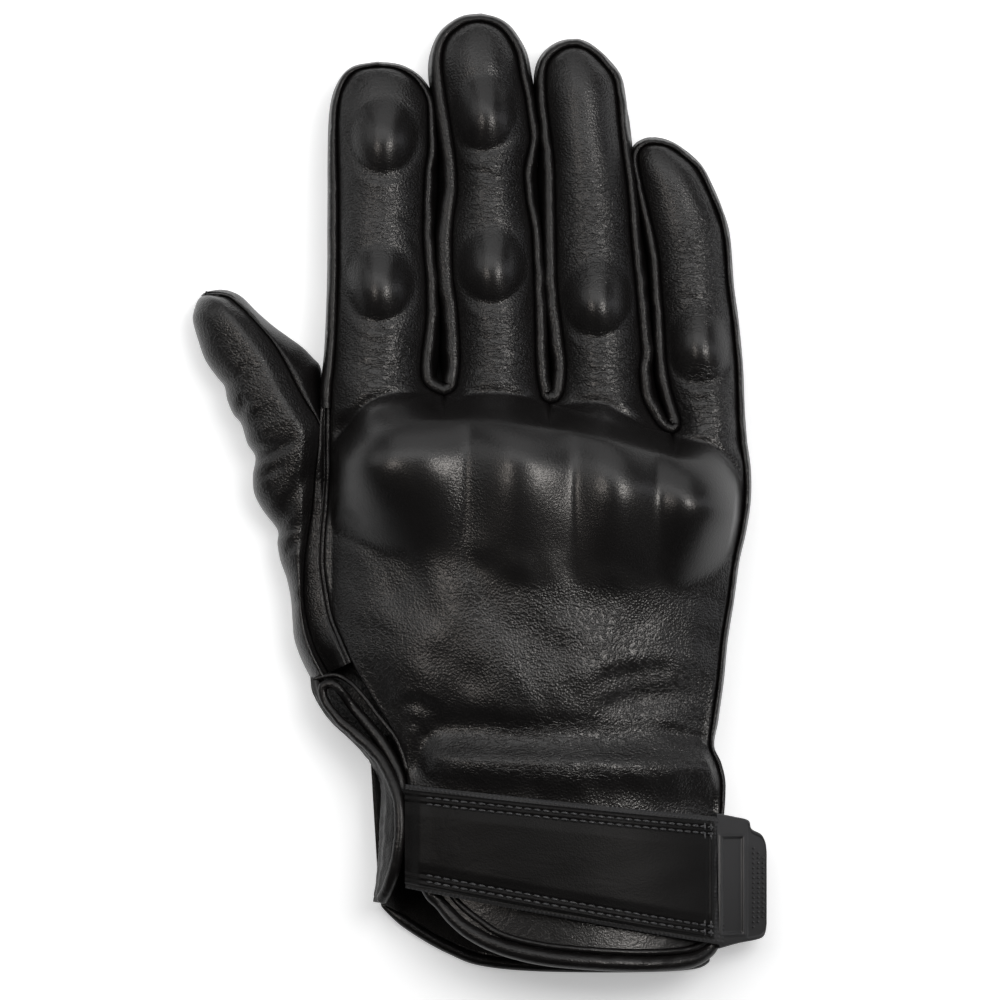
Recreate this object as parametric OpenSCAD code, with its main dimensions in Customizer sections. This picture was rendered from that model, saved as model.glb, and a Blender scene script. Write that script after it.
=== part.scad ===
// Short-cuff riding glove for the right hand, lying palm down with the fingers straight.
// Leather panels are sewn over a soft lining, with moulded pads under the leather at the
// knuckles. A slit at the thumb side of the wrist is closed by a strap with a rubber tab.
// Millimetres. X runs from the thumb to the little finger, Y to the finger tips, Z up.
// The origin is on the flat underside of the palm.

/* [Leather and lining] */
// Thickness of the leather
leather_t = 1.4; // [1:0.1:1.8]
// Thickness of the lining cloth
lining_t = 0.8; // [0.5:0.1:1.2]
// Space between leather and lining in the finger stalls
stall_gap = 0.3; // [0.2:0.05:0.6]
// Space between leather and lining in the hand
hand_gap = 1.5; // [1.4:0.1:2]
// Gap left at each sewn seam
seam_gap = 0.15; // [0.1:0.05:0.3]

/* [Bending] */
// Gap between pieces that bend against each other
flex_gap = 0.5; // [0.4:0.1:1]
// Height of the bending line of the fingers above the palm's underside
flex_z = 9; // [6:0.5:11]
// Largest bend of a finger at its root, in degrees
finger_flex = 60; // [30:5:70]
// Largest bend of the thumb at its root, in degrees
thumb_flex = 45; // [20:5:55]

/* [Index finger] */
// Length from the root to the tip
index_l = 82; // [65:1:95]
// Width at the root
index_w = 27.4; // [22:0.2:30]
// Height at the root
index_h = 22; // [18:0.5:25]
// Lean of the tip towards the thumb, in degrees
index_lean = 1.8; // [0:0.1:4]
// Distance of the root from the palm's origin
index_y = 41; // [36:0.5:46]
// Distance of the lower pad from the root
index_pad_y = 27.5; // [20:0.5:32]
// Distance of the upper pad from the root
index_top_pad_y = 62; // [52:0.5:66]

/* [Middle finger] */
// Length from the root to the tip
middle_l = 95; // [75:1:108]
// Width at the root
middle_w = 27.3; // [22:0.1:30]
// Height at the root
middle_h = 22; // [18:0.5:25]
// Lean of the tip towards the thumb, in degrees
middle_lean = 3.1; // [1:0.1:5]
// Distance of the root from the palm's origin
middle_y = 40.5; // [36:0.5:46]
// Distance of the middle finger's axis from the palm's origin, towards the thumb
middle_x = 8.25; // [4:0.25:12]
// Distance of the lower pad from the root
middle_pad_y = 32.5; // [24:0.5:38]
// Distance of the upper pad from the root
middle_top_pad_y = 70; // [60:0.5:76]

/* [Ring finger] */
// Length from the root to the tip
ring_l = 90; // [72:1:104]
// Width at the root
ring_w = 26.4; // [22:0.2:30]
// Height at the root
ring_h = 21; // [18:0.5:25]
// Lean of the tip towards the thumb, in degrees
ring_lean = 4.9; // [3:0.1:7]
// Distance of the root from the palm's origin
ring_y = 38.5; // [35:0.5:44]
// Distance of the pad from the root
ring_pad_y = 26.5; // [20:0.5:34]

/* [Little finger] */
// Length from the root to the tip
little_l = 72; // [58:1:84]
// Width at the root
little_w = 19.8; // [17:0.2:25]
// Height at the root
little_h = 18.5; // [16:0.5:22]
// Lean of the tip towards the thumb, in degrees
little_lean = 7; // [5:0.1:10]
// Distance of the root from the palm's origin
little_y = 33.5; // [30:0.5:40]
// Distance of the pad from the root
little_pad_y = 19.5; // [16:0.5:26]

/* [Thumb] */
// Length from the root to the tip
thumb_l = 39; // [32:1:48]
// Width at the root
thumb_w = 20.4; // [18:0.2:25]
// Height at the root
thumb_h = 20; // [17:0.5:24]
// Lean of the tip away from the hand, in degrees
thumb_lean = 24.5; // [16:0.5:30]
// Distance of the root from the palm's origin
thumb_y = 32.5; // [28:0.5:38]
// Gap between the thumb's root and the side of the hand
thumb_gap = 2.6; // [2:0.1:5]

/* [Stalls] */
// Length of the rounded end of each stall
tip_l = 16; // [11:0.5:18]
// Width near the tip as a share of the width at the root
tip_taper = 0.88; // [0.8:0.01:1]
// Fall of the stall's back from root to tip
tip_drop = 4; // [1:0.5:6]
// Gap between neighbouring fingers
finger_gap = 0.6; // [0.5:0.1:2]

/* [Finger pads] */
// Length of a finger pad's bump
pad_l = 19; // [14:0.5:22]
// Width of a finger pad's bump
pad_w = 15.5; // [11:0.5:16]
// Rise of a finger pad's bump
pad_rise = 3.8; // [2.5:0.1:5]
// Gap between a pad and the leather over it
pad_clear = 0.6; // [0.55:0.05:0.75]

/* [Knuckle guard] */
// Distance of the guard's front edge from the finger roots
guard_front = 4; // [2:0.5:8]
// Length of the raised field over the guard
guard_l = 41; // [34:1:48]
// Rise of the raised field
guard_rise = 4; // [3.5:0.1:6]
// Rise of each knuckle lobe above the field
lobe_rise = 5.5; // [3:0.1:7]
// Distance of the lobes' centres from the finger roots
lobe_back = 20; // [16:0.5:24]
// Radius of the lobes across the hand
lobe_r = 13.5; // [10:0.5:15]
// Thickness of the moulded guard
guard_t = 1.8; // [1.2:0.1:2]
// Gap between the guard and its neighbours
guard_clear = 0.4; // [0.35:0.05:0.5]

/* [Hand] */
// Height of the back of the hand at its middle
hand_h = 33; // [29:0.5:36]
// Height of the back of the hand just behind the finger roots
root_h = 25; // [23:0.5:29]
// Height of the side seams
side_seam_h = 15.5; // [13:0.5:18]
// Width of the hand's back at the heel, measured from the origin to the thumb-side seam
heel_w = 52; // [48:0.5:56]
// Swell of the thumb's base
thenar_swell = 11.5; // [8:0.5:14]
// Width of the strip beside the back panel on the thumb side
strip_w = 4; // [3:0.25:5]

/* [Wrist and cuff] */
// Distance of the wrist from the palm's origin
wrist_y = 55; // [50:1:60]
// Width of the wrist
wrist_w = 84; // [78:1:92]
// Distance of the wrist's middle from the origin, away from the thumb
wrist_x = 4; // [0:0.5:8]
// Height of the wrist
wrist_h = 27; // [25:0.5:31]
// Height of the cuff at its hem
hem_h = 29; // [26:0.5:33]
// Distance of the hem from the palm's origin
cuff_l = 102; // [99:1:110]
// How much shorter the hem is at the thumb side
hem_slant = 17; // [12:0.5:20]
// Distance of the slit's top from the palm's origin
vent_top = 28; // [25:0.5:31]
// Length over which the slit's back edge turns towards the hem
vent_run = 24; // [20:1:28]
// Distance of the slit's back edge from the origin, towards the thumb
vent_x = 27.5; // [24:0.25:28.5]
// Height of the flap's bound edge over the palm's underside
flap_h = 18.5; // [15:0.5:20]
// Distance of the flap's edge from the origin, towards the thumb
flap_x = 34.2; // [33.8:0.1:36]
// Diameter of the binding along the slit and the hem
binding_d = 3; // [2.4:0.1:3.2]
// Width of the elastic at the wrist
elastic_w = 9; // [5:0.5:12]
// Thickness of the elastic
elastic_t = 0.6; // [0.4:0.1:0.7]

/* [Strap] */
// Distance of the strap's root from the origin, towards the thumb
strap_x = 29.5; // [28.5:0.1:30]
// Distance of the strap's middle from the origin, at its root
strap_y = 69; // [67:0.5:71]
// Width at the root
strap_root_w = 26; // [20:0.5:28]
// Width at the tab
strap_end_w = 32; // [26:0.5:34]
// Length from the root to the tab
strap_l = 78; // [74:0.5:84]
// Fall of the strap's middle line towards the hem, in degrees
strap_slant = 8.2; // [4:0.2:10]
// Thickness of the woven band
band_t = 1.2; // [0.8:0.1:1.6]
// How far the band shows beside the leather cover
band_edge = 1.2; // [0.5:0.1:2]
// Thickness of each half of the hook-and-loop closure
closure_t = 0.7; // [0.5:0.1:1]
// Gap between the strap's layers
layer_gap = 0.25; // [0.2:0.05:0.4]
// Length of the loop patch
loop_l = 34; // [24:1:40]
// Length of the hook patch
hook_l = 24; // [16:1:30]

/* [Pull tab] */
// Length of the tab beyond the strap
tab_l = 12; // [9:0.5:16]
// Thickness of the tab
tab_t = 2.6; // [2:0.1:4]
// Depth of the blank window in the tab
window_depth = 0.8; // [0.4:0.1:1]
// Width of the blank window
window_w = 4.5; // [3:0.1:5]

/* [Hidden] */

leather_colour = [0.13, 0.12, 0.12];
wall_colour = [0.10, 0.10, 0.10];
lining_colour = [0.05, 0.045, 0.04];
guard_colour = [0.22, 0.22, 0.23];
foam_colour = [0.30, 0.30, 0.30];
textile_colour = [0.09, 0.09, 0.10];
rubber_colour = [0.12, 0.12, 0.12];

// The stalls, in the order index, middle, ring, little, thumb
stall_l = [index_l, middle_l, ring_l, little_l, thumb_l];
stall_w = [index_w, middle_w, ring_w, little_w, thumb_w];
stall_h = [index_h, middle_h, ring_h, little_h, thumb_h];
stall_lean = [index_lean, middle_lean, ring_lean, little_lean, thumb_lean];
stall_flex = [finger_flex, finger_flex, finger_flex, finger_flex, thumb_flex];
root_y = [index_y, middle_y, ring_y, little_y, thumb_y];
pad_places = [
  [index_pad_y, index_top_pad_y], [middle_pad_y, middle_top_pad_y], [ring_pad_y], [little_pad_y], []
];
index = 0;
middle = 1;
ring = 2;
little = 3;
thumb = 4;

// Shape of a stall's cross-section, as shares of its half width and height
foot_share = 0.75;
seam_share = 0.80;
seam_rise = 0.70;
wall_swell = 0.225;
crown_power = 2.2;
middle_rise = 0.42;
// Direction of the mitre where a wall meets the back, in degrees
mitre = 53;
// Cells around and along a stall
side_cells = 3;
back_cells = 10;
foot_cells = 2;
body_cells = 20;
plain_cells = 4;
tip_cells = 4;
// Where each panel starts and ends in the ring of points around a stall
back_start = side_cells;
back_end = back_start + back_cells;
foot_start = back_end + side_cells;
foot_end = foot_start + foot_cells;
// Length over which the notch at a stall's root closes
notch_run = 12;
// Angle of the last ring of a rounded end, just short of closing, in degrees
tip_sweep = 88;

function lerp(a, b, t) = a + (b - a) * t;
function clamp(t) = min(1, max(0, t));
function ease(t) = let (c = clamp(t)) c * c * (3 - 2 * c);
function unit(v) = v / norm(v);

// Closed solid between two sheets of points with the same rows and columns.
// Rows run along +Y and columns along +X, seen from outside.
module sheet(outer, inner, closed = false) {
  rows = len(outer);
  columns = len(outer[0]);
  last = columns - 1;
  cells = closed ? columns : last;
  function at(layer, r, c) = (layer * rows + r) * columns + c % columns;
  function quad(a, b, c, d) = [[a, b, c], [a, c, d]];
  points = concat([for (r = outer) each r], [for (r = inner) each r]);
  skins = [
    for (r = [0 : rows - 2], c = [0 : cells - 1])
      each concat(
        quad(at(0, r, c), at(0, r + 1, c), at(0, r + 1, c + 1), at(0, r, c + 1)),
        quad(at(1, r, c), at(1, r, c + 1), at(1, r + 1, c + 1), at(1, r + 1, c))
      )
  ];
  row_ends = [
    for (c = [0 : cells - 1])
      each concat(
        quad(at(0, 0, c), at(0, 0, c + 1), at(1, 0, c + 1), at(1, 0, c)),
        quad(at(0, rows - 1, c + 1), at(0, rows - 1, c), at(1, rows - 1, c), at(1, rows - 1, c + 1))
      )
  ];
  sides = closed ? [] : [
    for (r = [0 : rows - 2])
      each concat(
        quad(at(0, r + 1, 0), at(0, r, 0), at(1, r, 0), at(1, r + 1, 0)),
        quad(at(0, r, last), at(0, r + 1, last), at(1, r + 1, last), at(1, r, last))
      )
  ];
  polyhedron(points, concat(skins, row_ends, sides), convexity = 8);
}

// Round cord along a path of points
module cord(path, r, sides = 8) {
  count = len(path);
  function heading(k) = unit(path[min(k + 1, count - 1)] - path[max(k - 1, 0)]);
  points = [
    for (k = [0 : count - 1])
      let (t = heading(k), n = unit(cross(t, [0, 0, 1])), b = cross(n, t))
        for (j = [0 : sides - 1])
          path[k] + r * (cos(360 * j / sides) * n + sin(360 * j / sides) * b)
  ];
  walls = [
    for (k = [0 : count - 2], j = [0 : sides - 1])
      let (a = k * sides + j, b = k * sides + (j + 1) % sides)
        each [[a, b + sides, a + sides], [a, b, b + sides]]
  ];
  caps = [
    [for (j = [sides - 1 : -1 : 0]) j],
    [for (j = [0 : sides - 1]) (count - 1) * sides + j]
  ];
  polyhedron(points, concat(walls, caps), convexity = 8);
}

// Finger and thumb stalls, each in its own frame with its root at the origin

function half_w(i, y) = stall_w[i] / 2 * lerp(1, tip_taper, clamp(y / stall_l[i]));
function height(i, y) = stall_h[i] - tip_drop * clamp(y / stall_l[i]);

// Setback of a stall's end below its bending line, so that it can bend
function notch(i, z) = flex_gap / 2 + max(0, flex_z - z) * tan(stall_flex[i] / 2);

// Point of the right wall, from the foot at q = 0 to the back seam at q = 1
function side_point(q, a, h, depth) =
  let (n = 90 + (90 + mitre) * q)
    [
      a * (lerp(foot_share, seam_share, q) + wall_swell * sin(180 * q)) + depth * cos(n),
      h * seam_rise * q + depth * sin(n)
    ];

// Point of the back, from the left seam at t = -1 to the right seam at t = 1
function back_point(t, a, h, depth) =
  [
    t * (a * seam_share - depth * cos(mitre)),
    h * (1 - (1 - seam_rise) * pow(abs(t), crown_power)) - depth * sqrt(1 - pow(t * cos(mitre), 2))
  ];

// Ring of points around a stall: left wall, back, right wall, foot
function section(a, h, depth) = concat(
  [for (j = [0 : side_cells - 1]) let (p = side_point(j / side_cells, a, h, depth)) [-p.x, p.y]],
  [for (j = [0 : back_cells]) back_point(2 * j / back_cells - 1, a, h, depth)],
  [for (j = [side_cells - 1 : -1 : 0]) side_point(j / side_cells, a, h, depth)],
  [for (j = [1 : foot_cells - 1]) [lerp(1, -1, j / foot_cells) * a * foot_share, depth]]
);

function bump(i, x, y) = pad_rise * max(0, max([0, for (p = pad_places[i])
  let (r = pow(2 * x / pad_w, 2) + pow(2 * (y - p) / pad_l, 2)) r < 1 ? pow(1 - r, 2) : 0]));

// Stations along a stall: distance from the root and progress through the rounded end
function stations(i, cells) = let (body_l = stall_l[i] - tip_l) concat(
  [for (j = [0 : cells - 1]) [body_l * j / cells, 0]],
  [for (j = [0 : tip_cells]) [body_l, sin(tip_sweep * j / tip_cells)]]
);

function stall_ring(i, station, depth, padded) =
  let (
    a = half_w(i, station[0]),
    h = height(i, station[0]),
    scale = sqrt(1 - pow(station[1], 2)),
    y = station[0] + (tip_l - depth) * station[1],
    centre = middle_rise * h
  ) [
    for (p = section(a, h, depth))
      let (
        x = p.x * scale,
        rise = padded && p.y > h / 2 ? bump(i, x, y) : 0,
        z = centre + (p.y - centre) * scale + rise
      ) [x, y + notch(i, z) * max(0, 1 - y / notch_run), z]
  ];

// Part of a ring, drawn in by the seam gap at both ends
function drawn_in(p, q) = p + (q - p) * min(0.4, seam_gap / norm(q - p));
function span(points, from, to) = [
  for (j = [from : to])
    let (n = len(points))
      j == from ? drawn_in(points[j % n], points[(j + 1) % n])
      : j == to ? drawn_in(points[j % n], points[(j - 1) % n])
      : points[j % n]
];

module stall_panel(i, from, to, padded = false) {
  along = stations(i, padded ? body_cells : plain_cells);
  sheet(
    [for (s = along) span(stall_ring(i, s, 0, padded), from, to)],
    [for (s = along) span(stall_ring(i, s, leather_t, padded), from, to)]
  );
}

module stall_sidewalls(i) {
  stall_panel(i, 0, back_start);
  stall_panel(i, back_end, foot_start);
}

module stall_lining(i) {
  outer = leather_t + stall_gap;
  along = stations(i, plain_cells);
  sheet(
    [for (s = along) stall_ring(i, s, outer, false)],
    [for (s = along) stall_ring(i, s, outer + lining_t, false)],
    closed = true
  );
}

// Height of the plain back of a stall
function stall_back_z(i, x, y) =
  let (h = height(i, y), t = x / (seam_share * half_w(i, y)))
    h * (1 - (1 - seam_rise) * pow(abs(t), crown_power));

// Lens-shaped pad that fills one bump in the back
module stall_pad(i, place) {
  cells = 6;
  reach = 0.68;
  lift = stall_gap / 3;
  function spot(r, c) =
    let (u = 2 * c / cells - 1, v = 2 * r / cells - 1)
      [
        u * sqrt(1 - v * v / 2) * reach * pad_w / 2,
        place + v * sqrt(1 - u * u / 2) * reach * pad_l / 2
      ];
  function top(p) = stall_back_z(i, p.x, p.y) + bump(i, p.x, p.y) - leather_t - pad_clear;
  function bottom(p) = stall_back_z(i, p.x, p.y) - leather_t - lift;
  sheet(
    [for (r = [0 : cells]) [for (c = [0 : cells]) let (p = spot(r, c)) [p.x, p.y, top(p)]]],
    [for (r = [0 : cells]) [for (c = [0 : cells]) let (p = spot(r, c)) [p.x, p.y, bottom(p)]]]
  );
}

module stall_pads(i) {
  for (place = pad_places[i]) stall_pad(i, place);
}

// Places of the stalls on the hand

// Distance between the roots of two neighbours that keeps them apart along their shared length
function root_step(i, j) =
  let (
    low = max(root_y[i], root_y[j]),
    high = min(root_y[i] + stall_l[i], root_y[j] + stall_l[j]) - tip_l / 2
  ) finger_gap + max([
    for (s = [0 : 0.1 : 1])
      let (y = lerp(low, high, s), yi = y - root_y[i], yj = y - root_y[j])
        half_w(i, yi) / cos(stall_lean[i]) + half_w(j, yj) / cos(stall_lean[j])
          + yj * tan(stall_lean[j]) - yi * tan(stall_lean[i])
  ]);

index_x = -middle_x - root_step(index, middle);
ring_x = -middle_x + root_step(middle, ring);
little_x = ring_x + root_step(ring, little);
thumb_x = index_x - index_w / 2 - thumb_gap - thumb_w / 2 * cos(thumb_lean);
root_x = [index_x, -middle_x, ring_x, little_x, thumb_x];

function placed(i, p) =
  let (a = stall_lean[i])
    [
      root_x[i] + p.x * cos(a) - p.y * sin(a),
      root_y[i] + p.x * sin(a) + p.y * cos(a),
      p.z
    ];

module at_root(i) {
  translate([root_x[i], root_y[i], 0]) rotate(stall_lean[i]) children();
}

// Outline and height of the hand

// Extra setback of the panels beside the binding, and of the binding's own path
binding_r = binding_d / 2;
binding_step = binding_r + 2 * seam_gap;
foot_inset = 0.5;
side_swell = wall_swell * little_w / 2;
index_seam_x = index_x - seam_share * index_w / 2;
little_seam_x = little_x + seam_share * little_w / 2;
wrist_left_x = wrist_x - wrist_w / 2 + side_swell;
wrist_right_x = wrist_x + wrist_w / 2 - side_swell;
// Slope of the slit's back edge below its bend, towards the little finger
vent_slope = 0.1;
vent_end_y = -vent_top - vent_run;
// Stretch above the wrist over which the hand narrows
heel_run = 35;
heel_y = wrist_y - heel_run;
// Roundness of the back across the hand
back_power = 2.4;

// Thumb-side edge of the back panel, along the seam and then along the slit
function left_edge(y) =
  let (
    seam = lerp(index_seam_x, -heel_w, ease((index_y - y) / (index_y + vent_top))),
    along = sin(90 * clamp((-vent_top - y) / vent_run))
  ) lerp(seam, -vent_x, along) + vent_slope * max(0, vent_end_y - y);

function right_edge(y) =
  lerp(little_seam_x, wrist_right_x, ease((little_y - y) / (little_y + wrist_y)));

function crown(y) =
  y > 0 ? lerp(hand_h, root_h, ease(y / index_y))
  : y > -wrist_y ? lerp(hand_h, wrist_h, ease(-y / wrist_y))
  : lerp(wrist_h, hem_h, ease((-wrist_y - y) / (cuff_l - wrist_y)));

// Height of the plain back of the hand, without the knuckle guard under it
function plain_z(x, y) =
  let (
    left = lerp(index_seam_x, wrist_left_x, ease((-heel_y - y) / (wrist_y - heel_y))),
    right = right_edge(y),
    t = (2 * x - left - right) / (right - left)
  ) crown(y) - (crown(y) - side_seam_h) * pow(abs(t), back_power);

// Line through the finger roots
function knuckle_y(x) = lookup(x, [for (i = [index : little]) [root_x[i], root_y[i]]]);

// Centres of the knuckle lobes, drawn together towards the middle of the hand
lobe_spread = 0.89;
lobe_shift = 3.6;
function lobe_x(i) = lobe_spread * root_x[i] + lobe_shift;
lobe_length_share = 1.3;
lobe_power = 1.5;
guard_fade = 7;

// Rise of the leather over the knuckle guard
function guard_z(x, y) =
  let (
    back = knuckle_y(x) - y,
    field = ease((back - guard_front + guard_fade / 2) / guard_fade)
      * ease((guard_front + guard_l + guard_fade / 2 - back) / guard_fade)
      * ease((x - left_edge(y)) / guard_fade)
      * ease((right_edge(y) - x) / guard_fade),
    lobes = max([
      for (i = [index : little])
        let (
          dx = (x - lobe_x(i)) / lobe_r,
          dy = (back - lobe_back) / (lobe_r * lobe_length_share),
          r = dx * dx + dy * dy
        ) r < 1 ? pow(1 - r, lobe_power) : 0
    ])
  ) field * (guard_rise + lobe_rise * lobes);

// Hem of the back panel: short at the thumb side, full length at the little-finger side
hem_left_x = left_edge(-cuff_l + hem_slant);
hem_power = 3;
function hem_y(x) =
  let (s = clamp((x - hem_left_x) / (wrist_right_x - hem_left_x)))
    -cuff_l + binding_r + hem_slant * pow(1 - s, hem_power);

// Front edge of the back panel: over each finger root, and set back between the fingers
front_cells = 5;
crotch_back = 1.5;
crotch_drop = 1.5;
function root_front(i, t) =
  let (p = back_point(t, stall_w[i] / 2, stall_h[i], 0)) placed(i, [p.x, -flex_gap / 2, p.y]);
function crotch_front(i) =
  let (p = root_front(i, 1), q = root_front(i + 1, -1))
    [(p.x + q.x) / 2, min(p.y, q.y) - crotch_back, min(p.z, q.z) - crotch_drop];
fronts = [
  for (i = [index : little])
    each concat(
      [for (j = [0 : front_cells]) root_front(i, 2 * j / front_cells - 1)],
      i < little ? [crotch_front(i)] : []
    )
];
last_front = len(fronts) - 1;
front_share = [for (p = fronts) (p.x - fronts[0].x) / (fronts[last_front].x - fronts[0].x)];

// Rows of the back panel: from the finger roots at 0 past the knuckle guard at 1 to the hem at 2
knuckle_depth = guard_front + guard_l + guard_fade;
knuckle_rows = 11;
lower_rows = 9;
back_rows = concat(
  [for (j = [lower_rows : -1 : 1]) 1 + j / lower_rows],
  [for (j = [knuckle_rows : -1 : 0]) j / knuckle_rows]
);
function back_y(c, v) =
  let (
    below = knuckle_y(fronts[c].x) - knuckle_depth,
    hem = hem_y(lerp(hem_left_x, wrist_right_x, front_share[c])) + binding_step
  ) v < 1 ? lerp(fronts[c].y, below, v) : lerp(below, hem, v - 1);

// Shares of the knuckle rows over which the front edge eases into the plain back
front_ease_x = 0.4;
front_ease_z = 0.3;
// How closely the tilt of the leather keeps to the side seams
tilt_power = 5;

// Point on the back of the hand, at a depth below the leather's outer face
function hand_back(c, v, depth, guarded = true) =
  let (
    f = front_share[c],
    y = back_y(c, v),
    x = lerp(fronts[c].x, lerp(left_edge(y), right_edge(y), f), ease(v / front_ease_x)),
    z = lerp(fronts[c].z, plain_z(x, y), ease(v / front_ease_z)) + (guarded ? guard_z(x, y) : 0),
    tilt = cos(mitre) * pow(2 * f - 1, tilt_power)
  ) [x - depth * tilt, y, z - depth * sqrt(1 - tilt * tilt)];

// Leather pieces of the hand

module back_panel() {
  color(leather_colour) sheet(
    [for (v = back_rows) span([for (c = [0 : last_front]) hand_back(c, v, 0)], 0, last_front)],
    [for (v = back_rows) span([for (c = [0 : last_front]) hand_back(c, v, leather_t)], 0, last_front)]
  );
}

// Wall on the little-finger side, from the back seam down to the palm
function little_wall(q, v, depth) =
  let (
    s = hand_back(last_front, v, 0),
    n = 90 + (90 + mitre) * q,
    z = s.z * q + depth * sin(n)
  ) [
    lerp(s.x - foot_inset, s.x, q) + side_swell * sin(180 * q) + depth * cos(n),
    s.y - (notch(little, z) - flex_gap / 2) * clamp(1 - v / front_ease_z),
    z
  ];

module little_side_wall() {
  function row(v, depth) =
    span([for (j = [side_cells : -1 : 0]) little_wall(j / side_cells, v, depth)], 0, side_cells);
  color(wall_colour) sheet([for (v = back_rows) row(v, 0)], [for (v = back_rows) row(v, leather_t)]);
}

// Narrow strip along the thumb-side seam, from the index finger to the slit
strip_cells = 8;
strip_lean = 30;
strip_inward = [cos(strip_lean), 0, -sin(strip_lean)];
function edge_row(y) =
  let (below = back_y(0, 1))
    y > below ? (fronts[0].y - y) / (fronts[0].y - below) : 1 + (below - y) / (below - back_y(0, 2));
function strip_point(e, v, depth) =
  let (s = hand_back(0, v, 0), n = lerp(strip_inward, [cos(mitre), 0, -sin(mitre)], e))
    s + (1 - e) * strip_w * [-sin(strip_lean), 0, -cos(strip_lean)] + depth * n;

module thumb_side_strip() {
  rows = [for (j = [strip_cells : -1 : 0]) edge_row(lerp(fronts[0].y, -vent_top, j / strip_cells))];
  function row(v, depth) = span([for (e = [0, 1]) strip_point(e, v, depth)], 0, 1);
  color(wall_colour) sheet([for (v = rows) row(v, 0)], [for (v = rows) row(v, leather_t)]);
}

// Thumb-side edge of the palm, from the thumb's root past the heel to the wrist
thumb_foot = placed(thumb, [-foot_share * thumb_w / 2, -notch(thumb, 0), 0]);
heel_foot_x = -heel_w - strip_w / 2;
wrist_foot_x = wrist_left_x + foot_inset - side_swell / 2;
function palm_left(y) = lookup(y, [
  [-wrist_y, wrist_foot_x], [-vent_top, heel_foot_x], [thumb_foot.y, thumb_foot.x]
]);

// Leather over the thumb's base, between the thumb's root, the strip and the palm
thenar_cells = 8;
heel_swell = 3;
// Shares of its front edge that follow the thumb's outer wall and its back
outer_share = 0.3;
back_share = 0.55;
inner_share = 1 - outer_share - back_share;
// How far down the thumb's inner wall the front edge ends
inner_end = 0.55;
// Shares of the length over which the panel eases from the thumb, at its foot and at the strip
foot_ease = 0.5;
top_ease = 0.15;
function thumb_front(q, depth) =
  let (
    a = thumb_w / 2,
    left = side_point(clamp(q / outer_share), a, thumb_h, depth),
    p = q < outer_share ? [-left.x, left.y]
      : q < 1 - inner_share ? back_point(lerp(-1, 1, (q - outer_share) / back_share), a, thumb_h, depth)
      : side_point(lerp(inner_end, 1, (1 - q) / inner_share), a, thumb_h, depth)
  ) placed(thumb, [p.x, -notch(thumb, p.y), p.y]);

function thenar_point(q, w, depth) =
  let (
    front = thumb_front(q, depth),
    y = lerp(front.y, -vent_top, w),
    top = strip_point(0, edge_row(y), 0),
    foot = [palm_left(y), y, 0],
    chord = unit(top - foot),
    out = [-chord.z, 0, chord.x],
    swell = lerp(heel_swell, thenar_swell, ease((y + vent_top) / (thumb_y + vent_top))),
    inward = unit(q < 0.5 ? lerp([0, 0, 1], -out, 2 * q) : lerp(-out, strip_inward, 2 * q - 1)),
    plain = lerp(foot, top, q) + swell * sin(180 * q) * out + depth * inward
  ) lerp(front, plain, ease(w / lerp(foot_ease, top_ease, q)));

module thenar_panel() {
  function row(w, depth) =
    span([for (j = [0 : thenar_cells]) thenar_point(j / thenar_cells, w, depth)], 0, thenar_cells);
  rows = [for (j = [thenar_cells : -1 : 0]) j / thenar_cells];
  color(leather_colour) sheet([for (w = rows) row(w, 0)], [for (w = rows) row(w, leather_t)]);
}

// Flat palm piece, with its underside at Z = 0
palm_hem_cells = 6;
palm_hem_power = 2.5;
palm_hem_left = -cuff_l + hem_slant;
palm_right_x = right_edge(-cuff_l) - foot_inset;
function palm_hem_y(s) = -cuff_l + binding_d + seam_gap + hem_slant * pow(1 - s, palm_hem_power);
function palm_corner(i, side) =
  placed(i, [side * (stall_w[i] / 2 + flex_gap / 2), -notch(i, 0), 0]);
palm_outline = concat(
  [for (i = [index : ring]) each [palm_corner(i, -1), palm_corner(i, 1)]],
  [palm_corner(little, -1)],
  [for (j = [len(back_rows) - 1 : -1 : 0]) little_wall(0, back_rows[j], 0) - [seam_gap, 0, 0]],
  [for (j = [palm_hem_cells - 1 : -1 : 0])
    let (s = j / palm_hem_cells) [lerp(palm_left(palm_hem_left), palm_right_x, s), palm_hem_y(s), 0]],
  [[palm_left(-wrist_y), -wrist_y, 0], [palm_left(-vent_top), -vent_top, 0], thumb_foot],
  [palm_corner(thumb, 1)]
);

module palm_shape() {
  polygon([for (p = palm_outline) [p.x, p.y]]);
}

module palm_panel() {
  color(leather_colour) linear_extrude(leather_t) palm_shape();
}

// Webs that close the front of the hand between the roots
module web(left, right, setback, top_z, foot_z) {
  rows = 5;
  function point(r, side, depth) =
    let (z = lerp(top_z, foot_z, r / rows), p = side == 0 ? left(z) : right(z))
      [p.x, setback(z) - depth, z];
  sheet(
    [for (r = [0 : rows]) [for (side = [0, 1]) point(r, side, 0)]],
    [for (r = [0 : rows]) [for (side = [0, 1]) point(r, side, leather_t)]]
  );
}

function wall_x(i, z) =
  side_point(clamp(z / (seam_rise * stall_h[i])), stall_w[i] / 2, stall_h[i], leather_t).x;

module crotch_gussets() {
  web_foot = leather_t + lining_t + 2 * seam_gap;
  color(wall_colour) for (i = [index : ring]) {
    left = function (z) placed(i, [wall_x(i, z), 0, z]);
    right = function (z) placed(i + 1, [-wall_x(i + 1, z), 0, z]);
    setback = function (z) min(left(z).y, right(z).y) - notch(i, z) - flex_gap / 2;
    web(left, right, setback, crotch_front(i).z - leather_t - flex_gap, web_foot);
  }
}

// Pieces between leather and lining

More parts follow.
